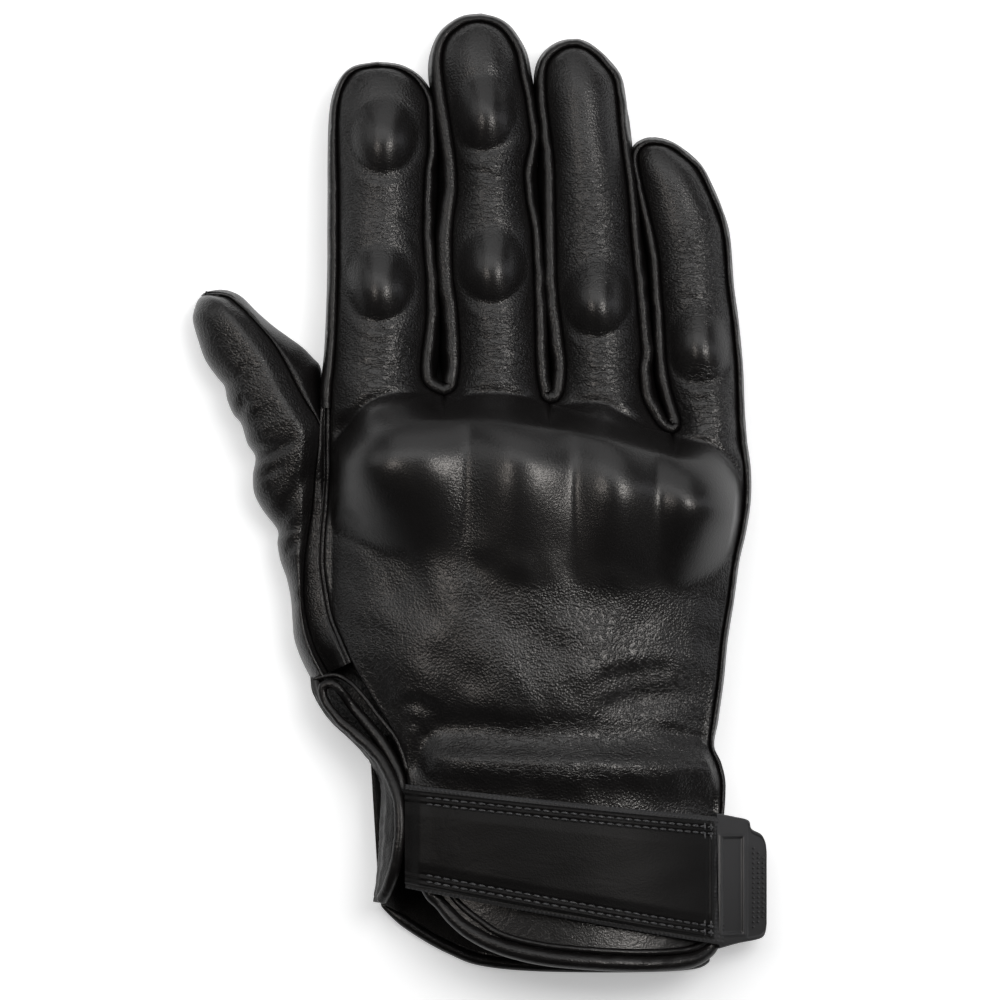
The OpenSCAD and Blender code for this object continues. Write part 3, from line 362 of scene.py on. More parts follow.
# Set folds in the leather: line, depth, width
creases = [
    ([(-48, 12.5), (-45, 10.4), (-41.5, 7.25)], 0.15, 1.5),
    ([(-48.25, 6.9), (-43, 4.6), (-38, 2.7)], 0.15, 1.5),
    ([(-46, 33), (-42.5, 37.6), (-38, 40.4), (-33, 41.6), (-28, 41.2)], 0.34, 1.2),
    ([(-18.5, 40.4), (-13, 41.6), (-7.25, 41.6), (-1.5, 40.5), (2.5, 39.3)], 0.34, 1.2),
    ([(7, 38.4), (12, 39.3), (18.25, 39), (23, 36.5), (29, 33.2)], 0.34, 1.2),
    ([(37.75, 30.5), (42, 29.6), (46, 28), (49.5, 25.2), (51.5, 22)], 0.3, 1.1),
    ([(-33, -37.2), (-30, -35.5), (-26.5, -36), (-23, -38.5)], 0.34, 1.6),
    ([(-25, -41), (-26.5, -46), (-28, -51), (-28.5, -55)], 0.8, 2.0),
    ([(13, -34), (19, -29.6), (29, -27.6), (39, -26.8)], 0.4, 2.0),
    ([(30, -41.5), (37, -43.5), (44, -45.2), (48, -46.4)], 0.4, 1.4),
    ([(-44, 56), (-38, 54), (-32, 55)], 0.1, 0.8),
    ([(-45, 50.5), (-38.5, 47.6), (-31, 48.6)], 0.11, 0.9),
    ([(-33, 86), (-30, 84.6), (-27.5, 85.4)], 0.25, 1.2),
    ([(-30, 81), (-28.6, 79), (-27.4, 78)], 0.2, 0.9),
    ([(-45.5, 62.5), (-41, 58.3), (-35, 57.4), (-30, 60.4)], 0.14, 0.7),
    ([(-45, 99), (-40.6, 95.4), (-34, 94.8), (-29.5, 98)], 0.12, 0.7),
    ([(-15.5, 57.5), (-10, 55.2), (-3, 56.8)], 0.1, 0.8),
    ([(-14.5, 48.5), (-8, 46.6), (-1, 48.4)], 0.12, 0.9),
    ([(-17, 66.5), (-12.5, 62.4), (-6, 61.8), (-1.5, 65)], 0.14, 0.7),
    ([(-18.5, 104), (-14.5, 100.2), (-8.5, 99.6), (-4, 102.6)], 0.15, 0.7),
    ([(-17.5, 95.5), (-13, 97), (-8, 95), (-4, 96.6)], 0.25, 1.1),
    ([(9, 58.2), (13.5, 54.2), (19.5, 53.6), (24.5, 57)], 0.14, 0.7),
    ([(11, 49), (17, 47), (25, 48.6)], 0.12, 0.9),
    ([(37, 41.5), (42, 40), (49, 41.5)], 0.17, 0.9),
    ([(36.6, 66.6), (41, 65), (46, 66.4)], 0.15, 0.8),
]
# The strap that lies across the wrist: both ends, its middle at the root, and how it leans
strap_root_x, strap_end_x, strap_y = -29.5, 48.5, -69
strap_lean = math.radians(8.2)
strap_fall = math.tan(strap_lean)


def strap_half(p):
    """Half the strap's width, by the share of the way from its root to its end."""
    return mix(13, 16, p)


def above_strap(x, y):
    """Distance above the strap's upper edge."""
    p = (x - strap_root_x) / (strap_end_x - strap_root_x)
    return y - (strap_y - (x - strap_root_x) * strap_fall + strap_half(p))


def strap_bed(x, y):
    """How far the back panel lies lower under the strap and at the hem."""
    return -1.4 * ease((-above_strap(x, y) - 8) / 16)


def dorsal(x, y):
    """Height of everything that stands out of or sinks into the plain back of the glove."""
    z = guard(x, y) + padded(x, y)
    for line, depth, width in creases:
        z = z + crease(x, y, line, depth, width)
    soft = 1 - 0.8 * ease(guard(x, y) / 3)
    on_finger = ease((y - 44) / 8)
    z = z + mix(0.3, 0.16, on_finger) * soft * ripple(x, y, 17, 3)
    z = z + mix(0.1, 0.03, on_finger) * soft * ripple(x, y, 7, 4)
    # Rolled fold above the strap, with gathers on its upper side
    v = y + 50.5 + 0.03 * x
    inside = ease((x + 29) / 9)
    z = z + inside * (3 * np.exp(-(v / np.where(v > 0, 3.4, 6)) ** 2) - 1.2 * np.exp(-((v - 8) / 4) ** 2))
    gather = inside * np.exp(-((v - 3) / 2.2) ** 2)
    z = z + gather * 0.1 * folds(x, y, -6, 1.3, 5, 21)
    # Slack of the wrist: hollows and the crest that runs to the little-finger side
    for rise, *shape in ((-2, 27, -34, 12.5, 5, 4), (-0.8, 31, -40, 12, 7), (0.7, 38, -46, 14, 4, -14),
                         (0.8, 6, -34, 14, 8), (-0.8, -19, -41, 7, 9, 20)):
        z = z + rise * mound(x, y, *shape)
    z = z + 0.1 * folds(x, y, -50, 1.7, 10, 33) * patch(x, y, -42, -17, 8, 16, 20)
    # Bending folds of the fingers, between the pads and at the roots
    for cx, cy, rx, ry, depth, seed in (
            (-37.5, 87.5, 12, 9, 0.02, 41), (-37, 50, 12, 8, 0.035, 42), (-9.5, 91, 11, 9, 0.035, 43),
            (-8.5, 50, 11, 9, 0.035, 44), (15.5, 84, 11, 13, 0.04, 45), (18, 48, 11, 6, 0.035, 46),
            (40.5, 71, 10, 10, 0.05, 47), (43, 37, 9, 6, 0.05, 48)):
        z = z + depth * folds(x, y, 3, 1.5, 6, seed) * patch(x, y, cx, cy, rx, ry)
    z = z + 0.06 * folds(x, y, 62, 1.5, 7, 51) * patch(x, y, 37, 46.5, 4.5, 5)
    z = z + 0.06 * folds(x, y, -62, 1.5, 7, 52) * patch(x, y, 48, 45.5, 4.5, 5)
    return z


def grain_of(x, y):
    """How strongly the leather's grain shows: smooth over the guards, coarse where it is slack."""
    front, crest, edge = guard_span(x)
    stretched = 0.85 * ease((y - edge) / 4) * ease((front - y) / 4)
    for cx, cy, rx, ry in pads:
        stretched = np.maximum(stretched, 0.8 * ease(1.6 - 1.2 * np.hypot((x - cx) / rx, (y - cy) / ry)))
    slack = (0.5 * patch(x, y, 7, -19, 30, 17) + 0.4 * patch(x, y, -16, 12, 6, 20)
             + 0.3 * patch(x, y, 36, -34, 18, 18))
    shaded = ease((-above_strap(x, y) - 20) / 6)
    return np.clip(0.75 + slack - 0.65 * stretched, 0.2, 1.4) * (1 - 0.6 * shaded)


def flex_of(x, y):
    """Where fine cross lines show, because the leather there bends with each finger or is gathered."""
    total = np.zeros_like(x)
    for cx, cy, rx, ry, level in (
            (-37.5, 87, 14, 14, 0.5), (-37, 50, 14, 13, 0.9), (-9.5, 92, 12, 14, 0.8),
            (-8.5, 52, 12, 14, 0.9), (15.5, 84, 12, 20, 0.9), (18, 47, 12, 12, 1), (40.5, 72, 12, 18, 1),
            (43, 39, 11, 12, 1),
            (10, -47, 44, 9, 0.9), (34, -36, 18, 12, 0.5), (-42, -14, 9, 22, 0.5)):
        total = np.maximum(total, level * patch(x, y, cx, cy, rx, ry))
    return total


# Crown of the plain back at the finger roots, the middle of the hand, the wrist and the hem
crown_roots, crown_hand, crown_wrist, crown_hem = 25, 31.8, 27, 25.5
roots_y, wrist_y, hem_y = 41, -55, -102
side_z = 15.5


def plain_z(x, y, widest=1.05):
    """Height of the back of the hand without what stands out of it."""
    y = np.asarray(y, float)
    to_wrist = mix(crown_hand, crown_wrist, ease(y / wrist_y))
    to_hem = mix(crown_wrist, crown_hem, ease((y - wrist_y) / (hem_y - wrist_y)))
    crown = np.where(y > 0, mix(crown_hand, crown_roots, ease(y / roots_y)),
                     np.where(y > wrist_y, to_wrist, to_hem))
    left = mix(-47.2, -35.77, ease((-20 - y) / 35))
    right = mix(51.84, 43.77, ease((33.5 - y) / 88.5))
    t = np.minimum(np.abs((2 * x - left - right) / (right - left)), widest)
    return crown - (crown - side_z) * t ** 2.4


# Columns across one finger, closer together towards its seams
share = np.linspace(-1, 1, 53)
across = np.sign(share) * (1 - (1 - np.abs(share)) ** 1.5)


def turned_in(edge):
    """Drop of the leather where it is turned in at a seam, by the distance from that seam."""
    q = 1 - np.clip(edge / seam_roll, 0, 1)
    return seam_drop * (1 - np.sqrt(1 - q * q))


def finger_grid(i, rows):
    """Outer face of a finger's back, from the root to the tip."""
    name = fingers[i]
    left, right = curve(finger_left[name], rows), curve(finger_right[name], rows)
    s = np.linspace(0, 1, rows)[:, None]
    flat = left[:, None] + (right - left)[:, None] * ((across + 1) / 2)[None, :, None]
    x, y = flat[..., 0], flat[..., 1]
    half = np.linalg.norm(right - left, axis=1)[:, None] / 2
    from_tip = np.linalg.norm((left + right) / 2 - (left[-1] + right[-1]) / 2, axis=1)[:, None]
    height = root_height[i] - tip_fall * s
    away = ease(s * length_of(left) / 15)
    seam = mix(mix(corner_z[i], 0.7 * height, away), mix(corner_z[i + 1], 0.7 * height, away),
               (across + 1) / 2)
    cap = np.sqrt(1 - (1 - np.clip(from_tip / 13, 0, 1)) ** 2)
    edge = np.minimum((1 - np.abs(across)) * half, from_tip)
    z = seam + (height - seam) * (1 - np.abs(across) ** 2.2) * cap - turned_in(edge)
    z = z + dorsal(x, y) * mix(1, ease(edge / 1.6), ease(s * length_of(left) / 6))
    return np.stack([x, y, z], axis=-1)


def solid(name, points, faces, finish, sharp=None, grain=1.0, flex=0.0):
    """Mesh object from points in millimetres."""
    mesh = bpy.data.meshes.new(name)
    mesh.from_pydata((np.asarray(points) * 0.001).tolist(), [], faces)
    mesh.polygons.foreach_set("use_smooth", [True] * len(mesh.polygons))
    if sharp is not None:
        ends = np.zeros(2 * len(mesh.edges), int)
        mesh.edges.foreach_get("vertices", ends)
        hard = sharp[ends].reshape(-1, 2).all(axis=1)
        mesh.attributes.new("sharp_edge", "BOOLEAN", "EDGE").data.foreach_set("value", hard)
    for key, level in (("grain", grain), ("flex", flex)):
        level = np.ascontiguousarray(np.broadcast_to(level, (len(points),)), np.float32)
        mesh.attributes.new(key, "FLOAT", "POINT").data.foreach_set("value", level)
    mesh.materials.append(finish)
    return put(name, mesh)


def panel(name, grid, thick, finish, grain=1.0, flex=0.0, loop=False, face=None):
    """Closed panel from a grid of points on its outer face; rows run away and columns to the right.
    With loop, the columns go round and meet; a face given sets the way all of it looks."""
    rows, cols = grid.shape[:2]
    wrap = ((1, 1), (1, 1), (0, 0))
    normal = np.cross(np.gradient(grid, axis=1), np.gradient(grid, axis=0))
    normal /= np.linalg.norm(normal, axis=2, keepdims=True) + 1e-9
    for _ in range(4):
        wide = np.pad(normal, wrap, mode="edge")
        normal = wide[:-2, 1:-1] + wide[2:, 1:-1] + wide[1:-1, :-2] + wide[1:-1, 2:] + normal
        normal /= np.linalg.norm(normal, axis=2, keepdims=True) + 1e-9
    if face is not None:
        normal = np.broadcast_to(face, grid.shape)
    count = rows * cols
    points = np.vstack([grid.reshape(-1, 3), (grid - thick * normal).reshape(-1, 3)])
    at = np.arange(count).reshape(rows, cols)
    if loop:
        at = np.hstack([at, at[:, :1]])
        starts = np.concatenate([at[0, :-1], at[-1, :0:-1]])
        stops = np.concatenate([at[0, 1:], at[-1, -2::-1]])
    else:
        starts = np.concatenate([at[0, :-1], at[:-1, -1], at[-1, :0:-1], at[:0:-1, 0]])
        stops = np.roll(starts, -1)
    top = np.stack([at[:-1, :-1], at[:-1, 1:], at[1:, 1:], at[1:, :-1]], axis=-1).reshape(-1, 4)
    rim = np.stack([stops, starts, starts + count, stops + count], axis=-1)
    hard = np.zeros(2 * count, bool)
    hard[starts] = hard[starts + count] = True
    grain, flex = (np.tile(np.broadcast_to(level, (rows, cols)).reshape(-1), 2) for level in (grain, flex))
    return solid(name, points, np.vstack([top, top[:, ::-1] + count, rim]).tolist(), finish, hard, grain,
                 flex)


def patterned(name):
    """New material, and the place on the piece that its patterns read."""
    finish, tree = new_material(name)
    return finish, tree, add(tree, "ShaderNodeTexCoord").outputs["Object"]


def close(tree, tones, share, roughness, height, strength, depth, more=(), **settings):
    """Close a material: one tone, or two mixed by a pattern's share, and relief in millimetres."""
    hue = ink(tones[0])
    if len(tones) == 2:
        both = add(tree, "ShaderNodeMix", {"Factor": share, "A": hue, "B": ink(tones[1])},
                   data_type="RGBA")
        hue = both.outputs["Result"]
    bump = add(tree, "ShaderNodeBump", {"Height": height, "Strength": strength, "Distance": depth * 0.001},
               **settings).outputs[0]
    sockets = {"Base Color": hue, "Roughness": roughness, "Normal": bump, **dict(more)}
    if "Coat Weight" in sockets:
        sockets["Coat Normal"] = bump
    shader = add(tree, "ShaderNodeBsdfPrincipled", sockets)
    add(tree, "ShaderNodeOutputMaterial", {"Surface": shader.outputs[0]})


def leather(name, tones, roughness, pebble, depth, wax=0.65, spread=0.28):
    """Black leather: an even coat of wax over pebbled hide, with fine cross lines where it flexes.
    The sizes are in millimetres, and the mesh says how strongly the grain and the lines show."""
    finish, tree, place = patterned(name)
    shown = add(tree, "ShaderNodeAttribute", attribute_name="grain").outputs["Fac"]
    flexed = add(tree, "ShaderNodeAttribute", attribute_name="flex").outputs["Fac"]
    warp = add(tree, "ShaderNodeTexNoise", {"Vector": place, "Scale": 1000 / 1.3, "Detail": 2})
    push = add(tree, "ShaderNodeVectorMath", {0: warp.outputs["Color"], "Scale": 0.0005},
               operation="SCALE")
    bent = add(tree, "ShaderNodeVectorMath", {0: place, 1: push.outputs[0]}, operation="ADD").outputs[0]
    cells = add(tree, "ShaderNodeTexVoronoi", {"Vector": bent, "Scale": 1000 / pebble, "Randomness": 1.0})
    fine = add(tree, "ShaderNodeTexNoise",
               {"Vector": bent, "Scale": 1000 / 0.3, "Detail": 2, "Roughness": 0.6})
    dome = add(tree, "ShaderNodeMapRange",
               {"Value": cells.outputs["Distance"], "From Min": 0.1, "From Max": 0.8, "To Min": 1,
                "To Max": 0}, interpolation_type="SMOOTHSTEP")
    held = add(tree, "ShaderNodeMath", {0: dome.outputs[0], 1: shown}, operation="MULTIPLY")
    grain = add(tree, "ShaderNodeMath", {0: fine.outputs["Fac"], 1: 0.5, 2: held.outputs[0]},
                operation="MULTIPLY_ADD")
    drawn = add(tree, "ShaderNodeMapping", {"Vector": bent, "Scale": (0.35, 1, 0.6)}).outputs[0]
    lines = add(tree, "ShaderNodeTexNoise",
                {"Vector": drawn, "Scale": 1000 / 1.2, "Detail": 3, "Distortion": 0.3})
    off = add(tree, "ShaderNodeMath", {0: lines.outputs["Fac"], 1: 0.5}, operation="SUBTRACT")
    off = add(tree, "ShaderNodeMath", {0: off.outputs[0]}, operation="ABSOLUTE")
    cut = add(tree, "ShaderNodeMapRange", {"Value": off.outputs[0], "From Min": 0, "From Max": 0.08,
                                           "To Min": -1.4, "To Max": 0}, interpolation_type="SMOOTHSTEP")
    relief = add(tree, "ShaderNodeMath", {0: cut.outputs[0], 1: flexed, 2: grain.outputs[0]},
                 operation="MULTIPLY_ADD")
    cloud = add(tree, "ShaderNodeTexNoise",
                {"Vector": place, "Scale": 1000 / 14, "Detail": 4}).outputs["Fac"]
    worn = add(tree, "ShaderNodeMapRange", {"Value": cloud, "From Min": 0.3, "From Max": 0.7,
                                            "To Min": roughness - 0.03, "To Max": roughness + 0.05})
    close(tree, tones, cloud, worn.outputs[0], relief.outputs[0], 1.0, depth,
          {"Specular IOR Level": 0.15 * wax, "Coat Weight": wax, "Coat Roughness": spread})
    return finish


# Aniline-dyed cowhide with a waxed finish: near black, soft sheen, pebbles of about 0.6 mm
cowhide = leather("Black cowhide", ("#0b0a0a", "#110f0f"), 0.48, 0.6, 0.075)


def fix(item, body, slot, *nodes):
    """Fix a piece to its body and hide the CAD nodes that it stands for; the slot is not used."""
    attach(item, body)
    for node in nodes:
        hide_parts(node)


def sheet(top, low, left, right, share):
    """Points inside four edge lines, and how far each lies from the nearer side line."""
    v = np.linspace(0, 1, len(left))[:, None, None]
    u = share[None, :, None]
    flat = ((1 - v) * top[None] + v * low[None] + (1 - u) * left[:, None] + u * right[:, None]
            - (1 - u) * (1 - v) * top[0] - u * (1 - v) * top[-1] - (1 - u) * v * low[0] - u * v * low[-1])
    sides = [np.linalg.norm(flat - flat[:, k:k + 1], axis=2) for k in (0, len(top) - 1)]
    return flat, np.minimum(*sides)


# The panel's upper edge is the row of all four finger roots
roots = [finger_grid(i, 200)[0] for i in range(4)]
chain = np.vstack([row[:-1] for row in roots[:3]] + roots[3:])
chain, chain_z = chain[:, :2], chain[:, 2] - dorsal(chain[:, 0], chain[:, 1])
along = run_of(chain) / length_of(chain)
hand_rows = 226
hem_dense = curve(hand_hem, 400)
hem_line = np.stack([np.interp(along, np.linspace(0, 1, 400), hem_dense[:, k]) for k in (0, 1)], axis=1)
flat, side = sheet(chain, hem_line, curve(hand_left, hand_rows), curve(hand_right, hand_rows), along)
x, y = flat[..., 0], flat[..., 1]
below = np.linalg.norm(flat - chain[None], axis=2)
z = mix(chain_z[None], plain_z(x, y) - turned_in(side), ease(below / 6.5))
raised = dorsal(x, y) * mix(1, ease(side / 2.5), ease(below / 6))
raised *= 1 - 0.95 * ease((-above_strap(x, y) - 0.3) / 2.5)
hand_grid = np.stack([x, y, z + raised], axis=-1)
hand_grid[..., 2] += strap_bed(x, y) * (1 - 0.07 * folds(x, y, 35, 1.5, 8, 61))
back = panel("Back_of_hand", hand_grid[::-1], leather_t, cowhide, grain_of(x, y)[::-1],
             flex_of(x, y)[::-1])
fix(back, "hand", "leather", "back_panel")

# Backs of the fingers
# Each finger's back is its own length of the same hide, cut with the hand and puffed up over the
# moulded pads. It creases where the finger bends and is turned in at both side seams.
# Where each finger is sewn to the hand, the clear length past that, and the length that bends
sewn_at = {name: (corners[i:i + 2], 3.5, 16.0) for i, name in enumerate(fingers)}
finger_skin = {}
# Distance between two rows of points along a finger
row_gap = 0.46


def bend(item, node):
    """Bake a piece's place into its mesh and hide the CAD node that it stands for."""
    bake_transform(item)
    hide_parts(node)


for i, name in enumerate(fingers):
    grid = finger_grid(i, int(length_of(curve(finger_left[name], 60)) / row_gap))
    x, y = grid[..., 0], grid[..., 1]
    finger_skin[name] = grid
    item = panel(f"{name.capitalize()}_back", grid, leather_t, cowhide, grain_of(x, y), flex_of(x, y))
    bend(item, f"{name}_back")

# Guards under the leather
# A thermoformed knuckle guard on a foam bed lies under the back panel, and a small moulded cup lies
# under each bump of the fingers. The leather is stretched over them, so they show only as its shape.

# Injection-moulded polypropylene, dark grey with a satin tool finish
moulded, tree, place = patterned("Moulded polypropylene")
tool = add(tree, "ShaderNodeTexNoise", {"Vector": place, "Scale": 1000 / 0.6, "Detail": 2})
close(tree, ["#2b2b2d"], None, 0.5, tool.outputs["Fac"], 0.5, 0.04)

# Cut polyurethane foam: open cells of about 0.8 mm
foam, tree, place = patterned("Cut polyurethane foam")
cell = add(tree, "ShaderNodeTexVoronoi", {"Vector": place, "Scale": 1000 / 0.8}).outputs["Distance"]
close(tree, ("#202022", "#48484a"), cell, 0.95, cell, 0.8, 0.3)

under_hide = 1.9
guard_thick, foam_thick = 1.4, 2.6
guard_block = hand_grid[2:78:4, 8:-8:4][::-1]
item = panel("Knuckle_guard", guard_block - np.array((0, 0, under_hide)), guard_thick, moulded)
fix(item, "hand", "guard", "knuckle_guard")
under_guard = under_hide + guard_thick + 0.2
item = panel("Knuckle_foam", guard_block - np.array((0, 0, under_guard)), foam_thick, foam)
fix(item, "hand", "foam", "knuckle_foam")

cups = {"index": (0, 1), "middle": (2, 3), "ring": (4,), "little": (5,)}
for name, places in cups.items():
    grid = finger_skin[name]
    node = f"{name}_pads" if len(places) == 2 else f"{name}_pad"
    for count, k in enumerate(places):
        _, cy, _, ry = pads[k]
        rows = np.abs(grid[:, len(across) // 2, 1] - cy) < ry
        cup = grid[rows][::2, 13:-13:2] - np.array((0, 0, under_hide))
        item = panel(f"{name.capitalize()}_cup_{count + 1}", cup, guard_thick, moulded)
        fix(item, name, "guard", *([node] if count == 0 else []))

# Side walls of the fingers
# Long strips of thinner hide between back and palm, sewn in with the raw edges inside. Their upper
# edge rolls over beside the seam, so each finger is framed by a soft wrinkled roll.

# Width of each roll by its share of the way from the root over the tip and back to the root
roll_width = {
    "index": [(0, 2.6), (0.1, 2.4), (0.3, 2.3), (0.42, 1.6), (0.5, 0.9), (0.58, 1.6), (0.7, 2.5),
              (0.9, 3.2), (1, 3.2)],
    "middle": [(0, 3.2), (0.08, 3.9), (0.2, 3.9), (0.36, 3.4), (0.46, 2.2), (0.5, 1.8), (0.56, 2.2),
               (0.75, 2.4), (0.94, 3.1), (1, 3.1)],
    "ring": [(0, 3.1), (0.08, 3.5), (0.3, 3.1), (0.42, 2.3), (0.5, 1.6), (0.58, 1.9), (0.75, 2.6),
             (0.94, 3.2), (1, 2.9)],
    "little": [(0, 2.9), (0.1, 3.0), (0.3, 2.7), (0.44, 1.8), (0.5, 1.3), (0.6, 1.3), (0.8, 1.2),
               (1, 1.5)],
}
# Thin calf for the strips: the same dye, finer grain, a little drier
calf = leather("Black calf", ("#0a0909", "#0f0d0d"), 0.5, 0.5, 0.06, 0.45)


def around(name):
    """Seam of a finger from its thumb-side root over the tip to its other root."""
    return np.vstack([finger_left[name], finger_right[name][::-1]])


def outward(line):
    """Level direction away from the glove along a line that keeps it on the right."""
    run = np.gradient(line[:, :2], axis=0)
    out = np.stack([-run[:, 1], run[:, 0]], axis=1)
    return out / (np.linalg.norm(out, axis=1, keepdims=True) + 1e-9)


wall_t, wall_columns = 0.9, 30


def wall_profile(width, low, seam, tuck):
    """Section of a wall from the groove at the back seam over the roll and in under the finger."""
    steps = [(-0.16, -1.7), (-0.04, -0.8), (0.05, -0.1), (0.2, 0.42), (0.45, 0.62), (0.7, 0.4),
             (0.9, -0.3), (1.0, -1.4)]
    roll = [(u * width, seam + dz) for u, dz in steps]
    foot = [(mix(width, low, 0.5), seam - 2.8), (low + 0.25, 0.6 * seam),
            (low + 0.2 - 0.1 * tuck, 0.4 * seam), (low - 0.3 * tuck, 0.22 * seam),
            (low - 0.62 * tuck, 0.1 * seam), (low - 1.2 * tuck, 0.03 * seam)]
    return roll + foot


def wall(name, line, out, width, low, seam, tuck, finish, seed, wrinkle=0.16):
    """Side wall swept along a seam line."""
    section = np.array([curve(wall_profile(*sizes), wall_columns) for sizes in zip(width, low, seam, tuck)])
    r, at = np.meshgrid(np.linspace(0, 1, wall_columns), run_of(line))
    pleat = wrinkle * (folds(at, 9 * r, 90, 1.5, 7, seed) + 0.7 * ripple(at, 8 * r, 6, seed + 5))
    pleat = pleat * np.sin(math.pi * np.clip(r * 1.9, 0, 1))
    section[..., 0] += pleat
    section[..., 1] += 0.6 * pleat
    flat = line[:, None, :2] + section[..., :1] * out[:, None]
    grid = np.dstack([flat, np.maximum(section[..., 1], 0.1)])
    return panel(name, grid[::-1], wall_t, finish, 0.8)


def tuck_of(share, length):
    """How far a wall is tucked in under its finger, by the share of the way over the tip."""
    return mix(1.8, 4.2, ease(1 - np.abs(share - 0.5) * length / 18))


def gap_to(line, other):
    """Distance from each point of a line to the nearest point of another."""
    return np.min(np.linalg.norm(line[:, None] - other[None], axis=2), axis=1)


def ahead_at_root(out, order=1):
    """Turn outward directions ahead at a root where the walls of two fingers leave one corner."""
    reach = ease(np.arange(len(out))[::order] / 8)[:, None]
    return reach * out + (1 - reach) * np.array([0.0, 1.0])


for i, name in enumerate(fingers):
    rail = around(name)
    steps = int(length_of(curve(rail, 200)) / 0.5)
    line = curve(rail, steps)
    out = outward(line)
    share = np.linspace(0, 1, steps)
    if i > 0:
        out = ahead_at_root(out)
    if i < 3:
        out = ahead_at_root(out, -1)
    out /= np.linalg.norm(out, axis=1, keepdims=True)
    widths = np.interp(share, *zip(*roll_width[name]))
    to_root = np.minimum(share, 1 - share) * 2
    height = root_height[i] - tip_fall * to_root
    away = ease(to_root * steps * 0.25 / 15)
    seam = mix(np.where(share < 0.5, corner_z[i], corner_z[i + 1]), 0.7 * height, away)
    # Below the roll the walls of neighbouring fingers swell until they almost meet
    low = widths + 0.15
    for j, side in ((i - 1, share < 0.5), (i + 1, share >= 0.5)):
        if 0 <= j < 4:
            room = gap_to(line, curve(around(fingers[j]), 420))
            other = np.interp(1 - share, *zip(*roll_width[fingers[j]]))
            reach = room * widths / (widths + other) - 0.1
            past_tip = ease((np.abs(share - 0.5) * steps * 0.5 - 8) / 16)
            near = ease((widths + other + 4.5 - room) / 2) * past_tip
            low = np.where(side, mix(low, np.clip(reach, widths + 0.05, widths + 3.4), near), low)
    low = np.convolve(np.pad(low, 8, mode="edge"), np.full(17, 1 / 17), mode="valid")
    tuck = tuck_of(share, length_of(line))
    item = wall(f"{name.capitalize()}_walls", line, out, widths, low, seam, tuck, calf, 70 + 3 * i)
    bend(item, f"{name}_sidewalls")

# Small webs that close the glove between the fingers: each slants from the back down to the palm
web_half, web_reach = 4.4, 11
web_lean = {1: -0.3, 2: -0.1, 3: -0.25}
q, s = np.meshgrid(np.linspace(-1, 1, 13), np.linspace(0, 1, 20))
for k, lean in web_lean.items():
    cx, cy = corners[k]
    web = np.stack([cx + web_half * q + lean * web_reach * s, cy + 1.2 + web_reach * s + 1.2 * q * q,
                    mix(corner_z[k] - 3.4, 1.2, s ** 0.7) + 0.8 * q * q], axis=-1)
    item = panel(f"Web_{k}", web, 0.8, calf, 0.7)
    fix(item, "hand", "wall_leather", *(["crotch_gussets"] if k == 1 else []))

# Thumb and its base
# One piece of hide wraps the back of the thumb and its base; a narrow inner wall closes the thumb
# towards the index finger. It is sewn to the palm below and to the thumb-side strip above.
thumb_outer = [(-54.75, -30), (-57.25, -25), (-59, -20), (-59.5, -15), (-59.9, -9.75), (-61, -4.5),
               (-62.5, -0.25), (-63.25, 4), (-63.25, 7.5), (-66.75, 12.25), (-69, 16.6), (-69.35, 21.25),
               (-68.75, 25.75), (-70.75, 29.25), (-72.25, 34), (-74.25, 36.5), (-75.75, 40), (-76.5, 43.5),
               (-78.5, 46), (-81.25, 50),
               (-83, 54.75), (-84.4, 59.75), (-84.2, 62.4), (-83.2, 65.2), (-82, 66.2)]
thumb_seam = [(-50.5, -28.6), (-53.6, -22.5), (-55.6, -16.25), (-56.6, -9.75), (-56.4, -0.75),
              (-55.5, 6.25), (-54.4, 13.5), (-53.75, 21.25), (-53, 27.75), (-52.75, 33.75), (-55.75, 38.9),
              (-58.25, 43.25), (-60.75, 48.25), (-64.25, 54.25), (-67.9, 58.75), (-71, 62.1),
              (-73.5, 64.25), (-75.5, 65.75), (-78.6, 66.3), (-81, 66.3)]
thumb_inside = [(-51.5, 35), (-52, 43), (-52.5, 48.25), (-54.4, 50.6), (-57, 53.25), (-60.75, 56),
                (-64.5, 58.75), (-68.5, 62.25), (-72, 65.75), (-74.75, 67.25), (-77.25, 67.75),
                (-79.9, 67.5), (-81.6, 67), (-82.5, 66.2)]
# Row at which the base ends and the bending thumb starts
thumb_root = 118


def thumb_height(y):
    """Height of the crown of the thumb and of its base."""
    return np.interp(y, [-30, -12, 8, 24, 34, 50, 66], [14.2, 13.6, 14.6, 18.4, 19.6, 17.6, 15.2])


def swept(start, stop, profile, columns, least=1e-6):
    """Grid of sections from one edge line to another; the profile gives a row's section by its width."""
    grid = np.empty((len(start), columns, 3))
    for r, (begin, end) in enumerate(zip(start, stop[:, :2])):
        width = max(np.linalg.norm(end - begin), least)
        section = curve(profile(r, width), columns)
        grid[r, :, :2] = begin + section[:, :1] * (end - begin) / width
        grid[r, :, 2] = section[:, 1]
    return grid


thumb_rows, thumb_columns = 232, 64
outer_line, seam_line = curve(thumb_outer, thumb_rows), curve(thumb_seam, thumb_rows)
middle_line = (outer_line + seam_line) / 2
tip_gap = np.linalg.norm(middle_line - middle_line[-1], axis=1)
cap = np.sqrt(1 - (1 - np.clip(tip_gap / 11, 0, 1)) ** 2)
crown = thumb_height(middle_line[:, 1])
seam_z = 0.8 * crown * mix(0.4, 1, cap)


